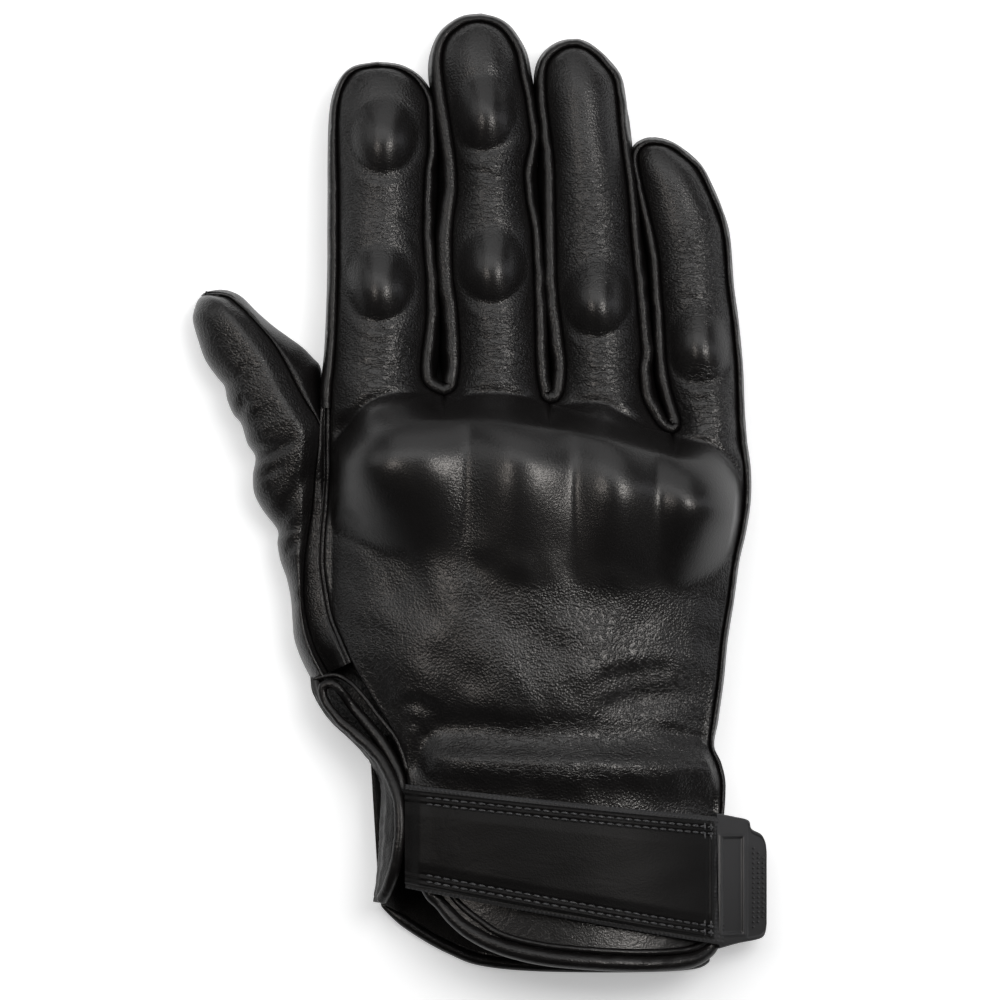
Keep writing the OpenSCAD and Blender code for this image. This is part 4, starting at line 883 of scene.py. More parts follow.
def thumb_profile(r, width):
    """Section of the thumb from under its outer side over the crown to the inner seam."""
    seam = seam_z[r]
    top = mix(seam, crown[r], cap[r])
    return [(min(1.6, 0.4 * width), 0.5), (0.25, min(2.2, 0.24 * top)), (0, 0.42 * top),
            (0.06 * width, 0.63 * top), (0.22 * width, 0.8 * top), (0.46 * width, 0.93 * top),
            (0.71 * width, top), (0.86 * width, mix(top, seam, 0.42)), (width - 0.7, seam + 0.45),
            (width - 0.12, seam - 0.25), (width + 0.1, seam - 1.6)]


grid = swept(outer_line, seam_line, thumb_profile, thumb_columns)
x, y = grid[..., 0], grid[..., 1]
level = np.sin(math.pi * np.clip(np.linspace(0, 1, thumb_columns) * 1.02, 0, 1))[None] ** 0.4
upper = ease((grid[..., 2] - 4) / 6) * level
fold = np.zeros_like(x)
for line, depth, width in (
        ([(-74, 34.2), (-72.4, 37.6), (-70.5, 41)], 0.5, 1.3),
        ([(-65, 6.5), (-59.5, 15.5), (-54.5, 23.5)], 0.5, 1.8),
        ([(-70, 26), (-64, 27.2), (-58, 31)], 0.4, 1.4), ([(-62, 2), (-59, 3.6), (-56.8, 6.5)], 0.4, 1.2),
        ([(-69.5, 20.5), (-65, 22), (-61, 25)], 0.25, 1.1),
        ([(-77, 46), (-73.5, 46.8), (-69.5, 49.5)], 0.15, 1.0),
        ([(-60, -12), (-58.5, -10.4), (-56.8, -8)], 0.3, 1.0)):
    fold += crease(x, y, line, depth, width)
fold += 0.08 * folds(x, y, 35, 1.5, 9, 91) * patch(x, y, -66, 27, 12, 14, 60) + 0.18 * ripple(x, y, 14, 92)
fold += 0.1 * folds(x, y, 25, 1.6, 8, 93) * patch(x, y, -58.5, -5, 5, 16)
fold += 0.05 * folds(x, y, 30, 1.4, 7, 94) * patch(x, y, -74, 50, 10, 12, 60)
grid[..., 2] += upper * fold
thumb_grain = np.clip(0.75 + 0.35 * patch(x, y, -64, 40, 9, 22, 30), 0.2, 1.2)
base = panel("Thumb_base", grid[:thumb_root + 1], leather_t, cowhide, thumb_grain[:thumb_root + 1])
fix(base, "hand", "leather", "thenar_panel")
thumb = panel("Thumb_back", grid[thumb_root:], leather_t, cowhide, thumb_grain[thumb_root:])
sewn_at["thumb"] = [outer_line[thumb_root], seam_line[thumb_root]], 0.0, 13.0
bend(thumb, "thumb_back")

inner_rows, inner_columns = 110, 26
seam_from = int(np.argmin(np.linalg.norm(seam_line - np.array((-52.75, 33.75)), axis=1)))
pick = np.linspace(seam_from, thumb_rows - 1, inner_rows)
near_x, near_y, near_z = (np.interp(pick, np.arange(thumb_rows), row) for row in (*seam_line.T, seam_z))
far_line = curve(thumb_inside, inner_rows)


def inner_profile(r, width):
    """Section of the inner wall from the seam down to the palm."""
    seam = near_z[r]
    return [(-0.15, seam - 1.7), (0.05, seam - 0.5), (0.16 * width, seam + 0.15),
            (0.5 * width, 0.86 * seam), (0.85 * width, 0.6 * seam), (width, 0.36 * seam),
            (0.93 * width, 1.2), (0.6 * width, 0.5)]


grid = swept(np.stack([near_x, near_y], axis=1), far_line, inner_profile, inner_columns)
swell = np.sin(np.linspace(0, math.pi, inner_columns))[None]
grid[..., 2] += 0.3 * ripple(grid[..., 0], grid[..., 1], 7, 95) * swell
item = panel("Thumb_inner_wall", grid, wall_t, calf, 0.9)
bend(item, "thumb_inner_wall")

# Thumb-side strip
# A narrow strip between the back panel and the thumb's base, sewn along both edges; beside the
# back panel it rolls over like the fingers' walls, which it carries on down to the slit.
strip_rows, strip_columns = 150, 32
strip_in = curve([(-49.7, 43), (-49.9, 37.2), *hand_left[1:9], (-44.6, -25.4)], strip_rows)
strip_out = curve([(-52.2, 43), (-52.6, 36.4), (-52.9, 33.5), (-53.1, 27.75), (-53.85, 21.25),
                   (-54.5, 13.5), (-55.6, 6.25), (-56.5, -0.75), (-56.7, -9.75), (-55.7, -16.25),
                   (-53.7, -22.5), (-50.4, -28.2)], strip_rows)
out_z = np.interp(strip_out[:, 1], seam_line[:thumb_root, 1], seam_z[:thumb_root]) - 0.2
in_z = plain_z(strip_in[:, 0], strip_in[:, 1]) - seam_drop


def strip_profile(r, width):
    """Section of the strip from the thumb's seam up to its roll beside the back panel."""
    a, b = out_z[r], in_z[r]
    return [(-0.1, a - 1.5), (0.1, a - 0.3), (0.14 * width, a + 0.45),
            (0.42 * width, mix(a, b, 0.5) + 0.5), (width - 1.75, b + 0.25), (width - 1.35, b - 0.1),
            (width - 0.9, b + 0.75), (width - 0.2, b + 0.85), (width + 0.3, b - 0.2),
            (width + 0.5, b - 1.4)]


grid = swept(strip_out, strip_in, strip_profile, strip_columns)
wide, run = np.meshgrid(np.linspace(0, 8, strip_columns), np.linspace(0, 70, strip_rows))
grid[..., 2] += 0.12 * folds(run, wide, 90, 1.6, 6, 97) + 0.15 * ripple(run, wide, 9, 98)
item = panel("Thumb_side_strip", grid[::-1], wall_t, calf, 0.8)
fix(item, "hand", "wall_leather", "thumb_side_strip")

# Little-finger side of the hand
# A plain wall of the thin hide between the back panel and the palm, from the little finger to the
# hem. Both its edges are turned in and sewn, and it rolls over a little beside the back seam.
side_rows = 260
line = curve(hand_right, side_rows)
seam = plain_z(line[:, 0], line[:, 1]) - 0.4
seam = mix(corner_z[4], seam, ease((29.5 - line[:, 1]) / 12))
widths = np.interp(line[:, 1], [-96, -62, -50, -40, 0, 20, 29.5], [0.6, 0.6, 0.5, 1.2, 1.1, 1.4, 1.5])
item = wall("Little_side_wall", line, outward(line), widths, widths + 0.15, seam, np.full(side_rows, 1.8),
            calf, 101, 0.1)
fix(item, "hand", "wall_leather", "little_side_wall")

# Palm
# Plain hide under the hand, the fingers and the thumb, sewn to the walls with the seams inside.
# It lies flat on the ground, with the slight puckers that sewing leaves along its edge.
ground = 0.05


def palm_sheet(name, left, right, seed):
    """Underside between two edge lines; it turns up to the walls along both."""
    t = across[::2]
    flat = left[:, None] + (right - left)[:, None] * ((t + 1) / 2)[None, :, None]
    z = ground + 1.5 * np.abs(t)[None] ** 10 + 0.25 * np.abs(ripple(flat[..., 0], flat[..., 1], 9, seed))
    grid = np.dstack([flat, z])
    return panel(name, grid[:, ::-1], 0.9, cowhide, 0.5, face=(0, 0, -1))


palm_corners = []
edge_rows = 150
for i, name in enumerate(fingers):
    sides = []
    for rail, turn in ((finger_left[name], 1), (finger_right[name], -1)):
        line = curve(rail, edge_rows)
        out = outward(line) * turn
        far = np.linspace(0, 1, edge_rows) / 2
        width = np.interp(far if turn == 1 else 1 - far, *zip(*roll_width[name]))
        if (turn == 1 and i > 0) or (turn == -1 and i < 3):
            out = ahead_at_root(out)
        inset = 0.5 * tuck_of(far, length_of(around(name)))
        sides.append(line + out * (width - inset)[:, None])
    palm_corners += [sides[0][0], sides[1][0]]
    item = palm_sheet(f"{name.capitalize()}_palm", *sides, 110 + i)
    bend(item, f"{name}_palm")

thumb_part = outer_line[thumb_root:]
inward = seam_line[thumb_root:] - thumb_part
palm_left_line = thumb_part + 0.9 * inward / (np.linalg.norm(inward, axis=1, keepdims=True) + 1e-6)
far_even = curve(far_line, len(thumb_part))
item = palm_sheet("Thumb_palm", palm_left_line, far_even, 115)
bend(item, "thumb_palm")

across_root = np.linspace(0, 1, 26)[:-1, None]
palm_top = [mix(palm_corners[k], palm_corners[k + 1], across_root) for k in (0, 2, 4, 6)]
palm_top = np.vstack(palm_top + [palm_corners[-1][None]])
palm_rows = 180
palm_side = curve([palm_top[0], (-51.8, 35.2), (-57.5, 32.6), (-64, 30), palm_left_line[0], (-68, 24.5),
                   (-67.8, 16.6), (-65.4, 12), (-62.2, 7.5), (-61.8, 3), (-60.6, -2), (-59, -8),
                   (-58.4, -15), (-57.8, -20), (-56, -25), (-53.6, -30), (-52, -35), (-48.6, -40),
                   (-43.4, -45), (-39.4, -50), (-36.6, -55), (-36.8, -65), (-37, -75), (-37.6, -84.5)],
                  palm_rows)
palm_edge = [(-27, -93), (-19.6, -97), (-12, -99.8), (2.5, -101.2), (27.5, -101.4), (41, -100.6)]
palm_hem_line = curve([(-37.6, -84.5), (-36.5, -87), *palm_edge, (45.4, -98)], len(palm_top))
palm_far = curve([palm_top[-1], *[(px - 0.4, py) for px, py in hand_right[1:-1]], (45.4, -98)], palm_rows)
flat, edge = sheet(palm_top, palm_hem_line, palm_side, palm_far, np.linspace(0, 1, len(palm_top)))
x, y = flat[..., 0], flat[..., 1]
z = ground + 1.5 * (1 - np.clip(edge / 2.5, 0, 1)) ** 2 + 0.3 * np.abs(ripple(x, y, 16, 118))
z = z + 0.5 * np.clip(-crease(x, y, [(-49, 30), (-44, 14), (-40, -6), (-38, -28)], 1, 1.6), 0, 1)
palm = panel("Palm", np.dstack([flat, z])[::-1, ::-1], 1.0, cowhide, 0.55, face=(0, 0, -1))
fix(palm, "hand", "leather", "palm_panel")

# Cuff on the thumb side
# The palm's hide wraps up over the thumb side of the wrist as a flap. A strip of thin hide, folded
# round the raw edges, binds the flap, the top of the slit, the slit's other side and the hem.

# Thin skived hide for the flap and the bindings: drawn tight, so its grain is fine
skived = leather("Black skived hide", ("#0b0a0a", "#110f0f"), 0.48, 0.5, 0.05, 0.4)
flap_foot = [(-39, -85.6), (-38.75, -82.5), (-38.1, -75), (-37.75, -65), (-37.5, -56), (-40.2, -50.3),
             (-44.75, -45.2), (-50, -40.2), (-53.4, -35), (-54.7, -31.5), (-54.9, -28.8)]
flap_edge = [(-37.7, -85.3, 14.6), (-35.8, -81.75, 18.4), (-34.2, -77, 21), (-33.2, -71.5, 22.2),
             (-32.7, -65, 22.3), (-33.4, -58.75, 21.4), (-35.4, -53.75, 19.6), (-38.2, -49, 17.8),
             (-42.9, -44.25, 15.8), (-47.9, -40.1, 14.4), (-51.1, -36, 13.7), (-52.2, -33.2, 13.7),
             (-53, -29.4, 12)]
flap_rows, flap_columns = 130, 30
flap_top = curve(flap_edge, flap_rows)


def flap_profile(r, width):
    """Section of the flap from under the wrist up to its bound edge."""
    rise = flap_top[r, 2]
    return [(2.6, 0.5), (0.9, 1.7), (0, 0.36 * rise), (0.1 * width, 0.64 * rise),
            (0.42 * width, 0.86 * rise), (0.75 * width, 0.97 * rise), (width, rise)]


grid = swept(curve(flap_foot, flap_rows), flap_top, flap_profile, flap_columns, 0.5)
wide, run = np.meshgrid(np.linspace(0, 1, flap_columns), np.linspace(0, 62, flap_rows))
grid[..., 0] -= 0.25 * folds(run, 22 * wide, 70, 2.2, 8, 121) * np.sin(math.pi * wide)
for mark in (0.62, 0.8):
    ridge = np.exp(-((wide - mark - 0.02 * ripple(run, 22 * wide, 5, 122)) / 0.035) ** 2)
    grid[..., 0] -= 0.35 * ridge
    grid[..., 2] += 0.3 * ridge
item = panel("Cuff_flap", grid, leather_t, skived, 0.9)
fix(item, "hand", "leather", "cuff_flap")


def tube(name, route, radius, finish, seed, wrinkle=0.08, sides=16, grain=0.6):
    """Bound or rolled edge along a route, with small cross wrinkles and closed ends."""
    radius = np.broadcast_to(radius, len(route))
    run = np.gradient(route, axis=0)
    run /= np.linalg.norm(run, axis=1, keepdims=True)
    side = np.cross(run, [0.0, 0.0, 1.0])
    side /= np.linalg.norm(side, axis=1, keepdims=True) + 1e-9
    top = np.cross(side, run)
    far = run_of(route)
    turn, at = np.meshgrid(np.linspace(0, 2 * math.pi, sides, endpoint=False), far)
    over = turn * radius[:, None]
    pleat = wrinkle * (folds(at, over, 78, 1.3, 6, seed) + 0.6 * ripple(at, 0.6 * over, 4, seed + 1))
    shut = np.sqrt(np.clip(np.minimum(far, far[-1] - far) / 1.2, 0.02, 1))[:, None]
    r = (radius[:, None] + pleat * np.sin(turn / 2) ** 2) * shut
    points = (route[:, None] + side[:, None] * (r * np.cos(turn))[..., None]
              + top[:, None] * (r * np.sin(turn))[..., None]).reshape(-1, 3)
    at = np.arange(len(points)).reshape(len(route), sides)
    nxt = np.roll(at, -1, axis=1)
    skin = np.stack([at[:-1], at[1:], nxt[1:], nxt[:-1]], axis=-1).reshape(-1, 4).tolist()
    return solid(name, points, skin + [at[0].tolist(), at[-1, ::-1].tolist()], finish, grain=grain)


def on_back(points, rise):
    """Points at a height over the plain back."""
    return [(px, py, float(plain_z(px, py)) + rise) for px, py in points]


slit_turn = [(-51.4, -31.4, 14.2), (-49.4, -30.9, 14.8), (-47.6, -32.2, 15.2)]
slit = [(-44.8, -36), (-41.8, -39.6), (-38.6, -43.4), (-35.8, -47.4), (-33.6, -51.6), (-32.3, -56),
        (-31.5, -62), (-30.2, -70), (-28, -77), (-25, -83)]
hem = [(-22.4, -85.5), (-19.2, -89.1), (-14.4, -92.9), (-7.4, -96.2), (2, -98.6), (12.5, -99.8),
       (27.5, -100.6), (39, -100), (44, -97.6), (46, -94.4)]
route = [(px + 0.35, py, pz + 0.3) for px, py, pz in flap_edge[:-1]] + slit_turn
route += on_back(slit, -0.4) + on_back(hem, -1.4)
line = curve(route, 520)
radius = np.interp(np.linspace(0, 1, len(line)), [0, 0.24, 0.29, 0.34, 0.4, 0.6, 0.66, 0.75, 1],
                   [1.5, 1.4, 1.1, 1.1, 1.5, 1.5, 1.9, 2.1, 2.1])
fix(tube("Cuff_binding", line, radius, skived, 131, 0.16), "hand", "binding", "vent_binding")

# Turned edge of the hide just inside the hem's binding
rim = [(px + 2.2 * (1 if py > -95 else 0.3), py + 2.9, pz) for px, py, pz in on_back(hem[:-1], -0.7)]
fix(tube("Hem_rim", curve(rim, 220), 0.85, skived, 133), "hand", "binding")

# Lip of the back panel along the slit
lip = [(-54.4, -29.9), (-50.5, -28.9), (-47.2, -29.2), (-43, -32.4), (-38.4, -38.2), (-34, -43.8),
       (-31.8, -48.6), (-30.6, -53)]
lip = curve(on_back(lip, -0.2), 130)
lip[:, 2] = np.minimum(lip[:, 2], 19.6)
fix(tube("Slit_lip", lip, 0.6, skived, 135), "hand", "binding")

# Rolled hem of the palm, which tapers into the flap's corner
palm_rim = [(-37.4, -84.8), (-35.2, -87.3), *palm_edge, (45, -98.4)]
palm_rim = curve([(px, py - 0.6, 1.6) for px, py in palm_rim], 200)
item = tube("Palm_hem", palm_rim, mix(0.7, 1.5, ease(np.linspace(0, 10, len(palm_rim)))), calf, 137)
fix(item, "hand", "binding", "palm_hem")

# Lining of the cuff
# Brushed dark cloth, seen in the slit and at the open hem: one sheet lies on the palm side and runs
# up the walls, one hangs under the back panel. Both are caught in the hem's binding.

# Brushed polyester: matt, fibres of about 0.45 mm, in clumps of 3 mm
fleece, tree, place = patterned("Brushed dark fleece")
fibre = add(tree, "ShaderNodeTexNoise",
            {"Vector": place, "Scale": 1000 / 0.45, "Detail": 4, "Distortion": 1.5})
clump = add(tree, "ShaderNodeTexNoise", {"Vector": place, "Scale": 1000 / 3, "Detail": 3}).outputs["Fac"]
nap = add(tree, "ShaderNodeMath", {0: clump, 1: 1.6, 2: fibre.outputs["Fac"]}, operation="MULTIPLY_ADD")
close(tree, ("#0c0907", "#1a1512"), clump, 0.95, nap.outputs[0], 1.0, 0.4,
      {"Specular IOR Level": 0.15, "Sheen Weight": 0.15, "Sheen Roughness": 0.6})

lining_rows, lining_columns = 70, 60
low_line = [(-37.4, -85), (-36, -87), (-27, -92.6), (-19.6, -96.4), (-12, -99), (2.5, -100.4),
            (27.5, -100.6), (41, -99.6), (44.6, -97.4)]
low_line = curve([(px + 0.4, py + 0.6) for px, py in low_line], lining_columns)
high_line = curve([(px, -44) for px in (-39.5, -20, 0, 20, 43)], lining_columns)
flat = mix(low_line[None], high_line[None], np.linspace(0, 1, lining_rows)[:, None, None])
t = np.abs(np.linspace(-1, 1, lining_columns))[None]
z = 2.4 + 9.5 * np.clip((t - 0.84) / 0.16, 0, 1) ** 1.6 + 0.5 * ripple(flat[..., 0], flat[..., 1], 9, 141)
fix(panel("Palm_lining", np.dstack([flat, z]), 0.8, fleece), "hand", "lining", "palm_lining")

ceiling = hand_grid[::3, ::3].copy()
ceiling[..., 2] -= 3.4 + 3.6 * ease(guard(ceiling[..., 0], ceiling[..., 1]) / 2)
behind_roots = ceiling[:, :, 1].max(axis=1) < 24
item = panel("Back_lining", ceiling[behind_roots][:, 3:-3][::-1], 0.8, fleece)
fix(item, "hand", "lining", "back_lining")


def sock(name, left, right, top, bottom=2.2):
    """Lining of one stall: a tube between two edge lines, from its upper heights down to the palm."""
    t = np.linspace(0.09, 0.91, 11)[None, :, None]
    flat = left[:, None] + (right - left)[:, None] * t
    roof = np.dstack([flat, top])
    sole = np.dstack([flat[:, ::-1], np.full(top.shape, bottom)])
    return panel(name, np.hstack([roof, sole]), 0.7, fleece, loop=True)


for name in fingers:
    skin = finger_skin[name][4:-9:4]
    item = sock(f"{name.capitalize()}_lining", skin[:, 0, :2], skin[:, -1, :2], skin[:, 6:-6:4, 2] - 4.0)
    bend(item, f"{name}_lining")
stall = slice(thumb_root + 4, -12, 4)
roof = 0.62 * crown[stall, None] * (1 - 0.25 * np.linspace(-1, 1, 11)[None] ** 2)
item = sock("Thumb_lining", outer_line[stall], far_even[4:-12:4], roof)
bend(item, "thumb_lining")

# Elastic tape under the back panel, which draws the wrist in above the strap
tape_y, tape_half = -50, 4.5
around_wrist = np.abs(hand_grid[:, len(along) // 2, 1] - tape_y) < tape_half
item = panel("Wrist_elastic", hand_grid[around_wrist][::-1, 30:-20:3] - np.array((0, 0, 2.0)), 0.8, fleece)
fix(item, "hand", "textile", "wrist_elastic")

# Strap
# A woven band with a leather cover sewn on top in double rows; it is fixed under the flap's binding
# and closes over the back of the wrist with hook and loop.
strap_length = strap_end_x - strap_root_x
# Heights above the back panel, and how far the cover lies inside the band's edge
band_rise, cover_rise, cover_margin = 3.5, 4.95, 1.2


def strap_point(p, q, rise):
    """Point on the strap: p along it, q across it from -1 to 1, at a height above the back panel."""
    px = strap_root_x + p * strap_length
    py = strap_y - p * strap_length * strap_fall + q * strap_half(p)
    return np.stack([px, py, plain_z(px, py, 2.0) + rise], axis=-1)


def peel(item, slot, *nodes):
    """Bake a piece of the strap into its mesh and hide the CAD nodes that it stands for; the slot is not
    used.
    """
    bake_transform(item)
    for node in nodes:
        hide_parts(node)


# Woven polyester tape: matt black, threads of about 0.55 mm in a plain weave
webbing, tree, place = patterned("Woven black tape")
turned = add(tree, "ShaderNodeMapping", {"Vector": place, "Rotation": (0, 0, strap_lean)}).outputs[0]
threads = {"Vector": turned, "Scale": 1000 / 0.55 / 20 * math.pi, "Distortion": 0.6, "Detail": 1}
warp, weft = (add(tree, "ShaderNodeTexWave", threads, bands_direction=way).outputs["Fac"] for way in "XY")
cross = add(tree, "ShaderNodeMath", {0: warp, 1: weft}, operation="MULTIPLY").outputs[0]
close(tree, ("#08080a", "#1b1c20"), cross, 0.7, cross, 0.9, 0.18,
      {"Sheen Weight": 0.12, "Sheen Roughness": 0.4})

p, q = np.meshgrid(np.linspace(-0.02, 1.0, 130), np.linspace(-1, 1, 60))
edge = (1 - np.abs(q)) * 14
rolled = 0.5 * (1 - np.clip(edge / 0.8, 0, 1)) ** 2
grid = strap_point(p, q, band_rise - rolled + 0.06 * ripple(80 * p, 30 * q, 9, 151))
peel(panel("Strap_band", grid, 1.1, webbing), "textile", "strap_band")

cover_end = 0.968
stitch_inset = (1.5, 3.1)
q = np.linspace(-1, 1, 91)
p, q = np.meshgrid(np.linspace(-0.022, cover_end, 210), np.sign(q) * np.abs(q) ** 0.8)
half = strap_half(p)
q = q * (half - cover_margin) / half
edge = half - cover_margin - np.abs(q * half)
ends = (cover_end - p) * strap_length
near = np.minimum(edge, ends)
puff = 0.45 * ease((edge - 3.4) / 3) - 0.9 * (1 - np.sqrt(1 - (1 - np.clip(near / 0.9, 0, 1)) ** 2))
for gap in (*[edge - inset for inset in stitch_inset], ends - 1.5):
    puff = puff - 0.3 * np.exp(-(gap / 0.4) ** 2)
# Worn creases, laid out in millimetres along and across the strap
u, v = strap_length * p, 28 * q
wear = 0.06 * ripple(u, v, 15, 153) + 0.1 * folds(u, v, 78, 1.6, 7, 154) * patch(u, v, 6, 0, 14, 40)
wear = wear + 0.05 * folds(u, v, 4, 2.2, 12, 155) * patch(u, v, 34, -6, 30, 12)
root = 0.9 * np.exp(-((u - 2.0) / 1.8) ** 2)
grid = strap_point(p, q, cover_rise + puff + wear * ease(edge / 3) + root)
# The strap's hide is split thinner and left drier than the hand's
strap_hide = leather("Dry black hide", ("#0a0909", "#0f0e0e"), 0.52, 0.5, 0.04, 0.18, 0.5)
peel(panel("Strap_cover", grid, leather_t, strap_hide, 0.6), "leather", "strap_cover")

# Hook and loop
# Two patches of woven tape: soft loops sewn to the back panel, stiff hooks under the strap. They
# show only when the strap is open.


def pile(name, spacing):
    """Tape with rows of loops or hooks at a spacing in millimetres."""
    finish, tree, place = patterned(name)
    tuft = add(tree, "ShaderNodeTexVoronoi", {"Vector": place, "Scale": 1000 / spacing,
                                              "Randomness": 0.45}).outputs["Distance"]
    fuzz = add(tree, "ShaderNodeTexNoise", {"Vector": place, "Scale": 1000 / 0.3, "Detail": 3})
    rise = add(tree, "ShaderNodeMath", {0: fuzz.outputs["Fac"], 1: 0.6, 2: tuft}, operation="MULTIPLY_ADD")
    close(tree, ("#1d1d20", "#070708"), tuft, 0.85, rise.outputs[0], 1.0, 0.5, {"Sheen Weight": 0.2},
          invert=True)
    return finish


p, q = np.meshgrid(np.linspace(0.36, 0.9, 80), np.linspace(-0.72, 0.72, 40))
tuft = 0.12 * ripple(strap_length * p, 28 * q, 2.4, 161)
bed = strap_bed(*np.moveaxis(strap_point(p, q, 0)[..., :2], -1, 0))
# Knitted nylon loops: matt and soft, about 0.9 mm apart
item = panel("Loop_patch", strap_point(p, q, 1.0 + tuft + bed), 0.7, pile("Knitted loop tape", 0.9))
fix(item, "hand", "textile", "loop_patch")
# Woven nylon hooks: stiffer, about 1.3 mm apart
item = panel("Hook_patch", strap_point(p, q, 1.75 + 0.3 * tuft)[:, ::-1], 0.6,
             pile("Woven hook tape", 1.3))
fix(item, "strap", "textile", "hook_patch")

# Pull tab
# Soft black rubber, moulded onto the strap's end: a plain framed window next to the tape, and three
# columns of small raised dots on the grip.

# Moulded rubber: near black, satin, with a faint eroded texture of about 0.3 mm
rubber, tree, place = patterned("Moulded black rubber")
tool = add(tree, "ShaderNodeTexNoise", {"Vector": place, "Scale": 1000 / 0.3, "Detail": 2})
cloud = add(tree, "ShaderNodeTexNoise", {"Vector": place, "Scale": 1000 / 6, "Detail": 3})
close(tree, ("#121214", "#19191b"), cloud.outputs["Fac"], 0.5, tool.outputs["Fac"], 0.6, 0.03)
tab_top = [(46.6, -63.2), (51, -64.1), (54.6, -65.1), (55.4, -67.2), (57.8, -68.6), (58.9, -70.6),
           (59.25, -73)]
tab_low = [(47.3, -97), (52, -95.8), (56.6, -95), (58.3, -94.3), (59, -93), (59.25, -91)]
tab_slope, tab_thick = 0.62, 2.4
# Way that the sloping tab faces
tab_face = (0.527, 0, 0.85)
tab_rows, tab_columns = 150, 90
# The bare window: left, right, low and high
window = (47.9, 53.2, -93.2, -69.2)


def tab_height(x, y):
    """Top of the tab before its details: it leans down to the little-finger side, like the wrist."""
    return 17.4 - tab_slope * (x - 47.2) - 0.004 * (y + 80) ** 2


share = np.linspace(0, 1, tab_columns)[None]
upper, lower = curve(tab_top, tab_columns), curve(tab_low, tab_columns)
s = np.linspace(0, 1, tab_rows)[:, None]
flat = mix(lower[None], upper[None], s[..., None])
x, y = flat[..., 0], flat[..., 1]
edge = np.minimum(np.minimum(s, 1 - s) * 31, (1 - share) * 12.4)
inside = np.minimum(np.minimum(x - window[0], window[1] - x), np.minimum(y - window[2], window[3] - y))
z = tab_height(x, y) - 0.5 * (1 - np.sqrt(1 - (1 - np.clip(edge / 0.6, 0, 1)) ** 2))
z = z - 0.45 * ease(inside / 0.35) + 0.22 * np.exp(-((inside + 0.35) / 0.3) ** 2)
z = z - 0.25 * ease((x - 54.2) / 0.5) * ease((edge - 0.7) / 0.5)
tab = panel("Pull_tab", np.stack([x, y, z], axis=-1), tab_thick, rubber, face=tab_face)
fix(tab, "strap", "tab_rubber", "pull_tab")


def node_group(name, sockets):
    """Empty Geometry Nodes tree with named inputs."""
    group = bpy.data.node_groups.new(name, "GeometryNodeTree")
    group.interface.new_socket("Geometry", in_out="INPUT", socket_type="NodeSocketGeometry")
    group.interface.new_socket("Geometry", in_out="OUTPUT", socket_type="NodeSocketGeometry")
    for label, kind in sockets:
        group.interface.new_socket(label, in_out="INPUT", socket_type=kind)
    return group, add(group, "NodeGroupInput").outputs


def finish_group(group, made):
    """End a tree: real mesh, smooth, with its material."""
    real = add(group, "GeometryNodeRealizeInstances", {"Geometry": made})
    soft = add(group, "GeometryNodeSetShadeSmooth", {"Geometry": real.outputs[0]})
    given = next(n for n in group.nodes if n.bl_idname == "NodeGroupInput").outputs["Material"]
    dressed = add(group, "GeometryNodeSetMaterial", {"Geometry": soft.outputs[0], "Material": given})
    add(group, "NodeGroupOutput", {"Geometry": dressed.outputs[0]})


def grow(name, group, points, edges, values):
    """Plain mesh made by a tree from points in millimetres and the edges between them."""
    mesh = bpy.data.meshes.new(name)
    mesh.from_pydata((np.asarray(points) * 0.001).tolist(), edges, [])
    item = put(name, mesh)
    modifier = item.modifiers.new("Grown", "NODES")
    modifier.node_group = group
    for socket in group.interface.items_tree:
        if socket.name in values:
            modifier[socket.identifier] = values[socket.name]
    made = item.evaluated_get(bpy.context.evaluated_depsgraph_get())
    item.data = bpy.data.meshes.new_from_object(made)
    item.modifiers.clear()
    return item


dots, given = node_group("Raised dots", (("Width", "NodeSocketFloat"), ("Rise", "NodeSocketFloat"),
                                         ("Material", "NodeSocketMaterial")))
ball = add(dots, "GeometryNodeMeshUVSphere", {"Segments": 10, "Rings": 6, "Radius": 0.5})
scale = add(dots, "ShaderNodeCombineXYZ", {"X": given["Width"], "Y": given["Width"], "Z": given["Rise"]})
placed = add(dots, "GeometryNodeInstanceOnPoints",
             {"Points": given["Geometry"], "Instance": ball.outputs["Mesh"], "Scale": scale.outputs[0]})
finish_group(dots, placed.outputs[0])
dot_columns = [(55.85, 17), (57.1, 15), (58.3, 13)]
dot_pitch, dot_middle = 1.23, -81.9
spots = []
for px, count in dot_columns:
    for py in dot_middle + (np.arange(count) - (count - 1) / 2) * dot_pitch:
        spots.append((px, py, float(tab_height(px, py)) - 0.2))
item = grow("Grip_dots", dots, spots, [], {"Width": 0.00082, "Rise": 0.0008, "Material": rubber})
fix(item, "strap", "tab_rubber")

# Stitches
# Lockstitch in black bonded thread: double rows hold the cover on the tape, along both edges and
# across the end. Each stitch is about 2 mm long and sinks a little into the leather.

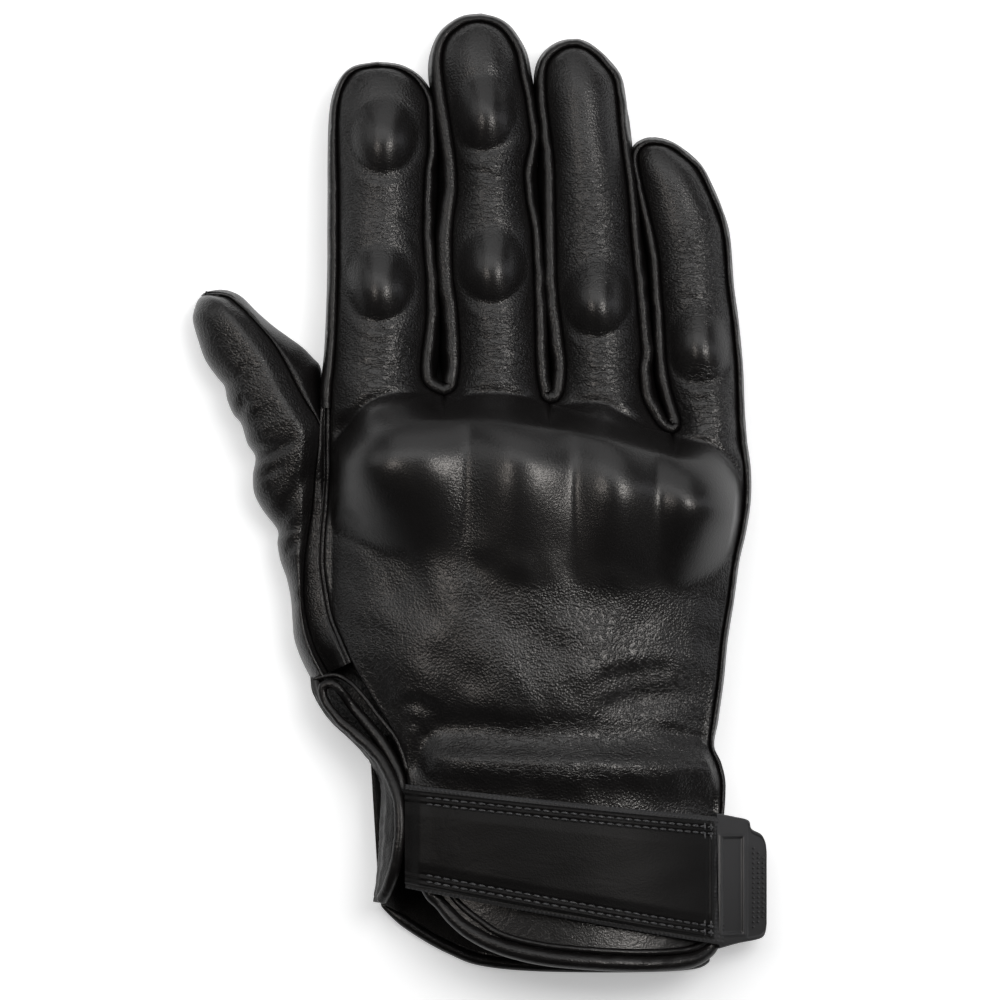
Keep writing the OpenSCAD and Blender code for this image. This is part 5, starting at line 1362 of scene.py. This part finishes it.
# Bonded polyester thread: black with a waxy sheen, its twist about 0.4 mm
thread, tree, place = patterned("Bonded black thread")
twist = add(tree, "ShaderNodeTexWave",
            {"Vector": place, "Scale": 1000 / 0.4 / 20 * math.pi, "Distortion": 0.8},
            bands_direction="DIAGONAL").outputs["Fac"]
close(tree, ("#101012", "#28282b"), twist, 0.4, twist, 0.6, 0.06, {"Sheen Weight": 0.2})

sewn, given = node_group("Sewn stitches", (("Pitch", "NodeSocketFloat"), ("Length", "NodeSocketFloat"),
                                           ("Thickness", "NodeSocketFloat"),
                                           ("Material", "NodeSocketMaterial")))
line = add(sewn, "GeometryNodeMeshToCurve", {"Mesh": given["Geometry"]})
even = add(sewn, "GeometryNodeResampleCurve", {"Curve": line.outputs[0], "Length": given["Pitch"]},
           mode="LENGTH")
along = add(sewn, "GeometryNodeInputTangent")
turn = add(sewn, "FunctionNodeAlignRotationToVector", {"Vector": along.outputs[0]}, axis="X")
ball = add(sewn, "GeometryNodeMeshUVSphere", {"Segments": 8, "Rings": 6, "Radius": 0.5})
scale = add(sewn, "ShaderNodeCombineXYZ",
            {"X": given["Length"], "Y": given["Thickness"], "Z": given["Thickness"]})
placed = add(sewn, "GeometryNodeInstanceOnPoints",
             {"Points": even.outputs[0], "Instance": ball.outputs["Mesh"], "Rotation": turn.outputs[0],
              "Scale": scale.outputs[0]})
finish_group(sewn, placed.outputs[0])


def sew(name, lines, pitch=2.3, length=1.9, thick=0.62):
    """Rows of stitches along lines of points in millimetres."""
    points, edges = [], []
    for line in lines:
        edges += [(len(points) + k, len(points) + k + 1) for k in range(len(line) - 1)]
        points += list(line)
    return grow(name, sewn, points, edges, {"Pitch": pitch * 0.001, "Length": length * 0.001,
                                            "Thickness": thick * 0.001, "Material": thread})


def on_cover(p, inset, side):
    """Point on the strap's cover, by the distance from one of its long edges."""
    half = strap_half(p)
    return strap_point(p, side * (half - cover_margin - inset) / half, cover_rise - 0.05)


row = np.linspace(0.03, 0.955, 120)
rows = [on_cover(row, inset, side) for inset in stitch_inset for side in (-1, 1)]
for from_end in (0.9, 2.5):
    p = np.full(40, cover_end - from_end / strap_length)
    rows.append(strap_point(p, np.linspace(-0.83, 0.83, 40), cover_rise - 0.1))
peel(sew("Strap_stitches", rows), "textile")
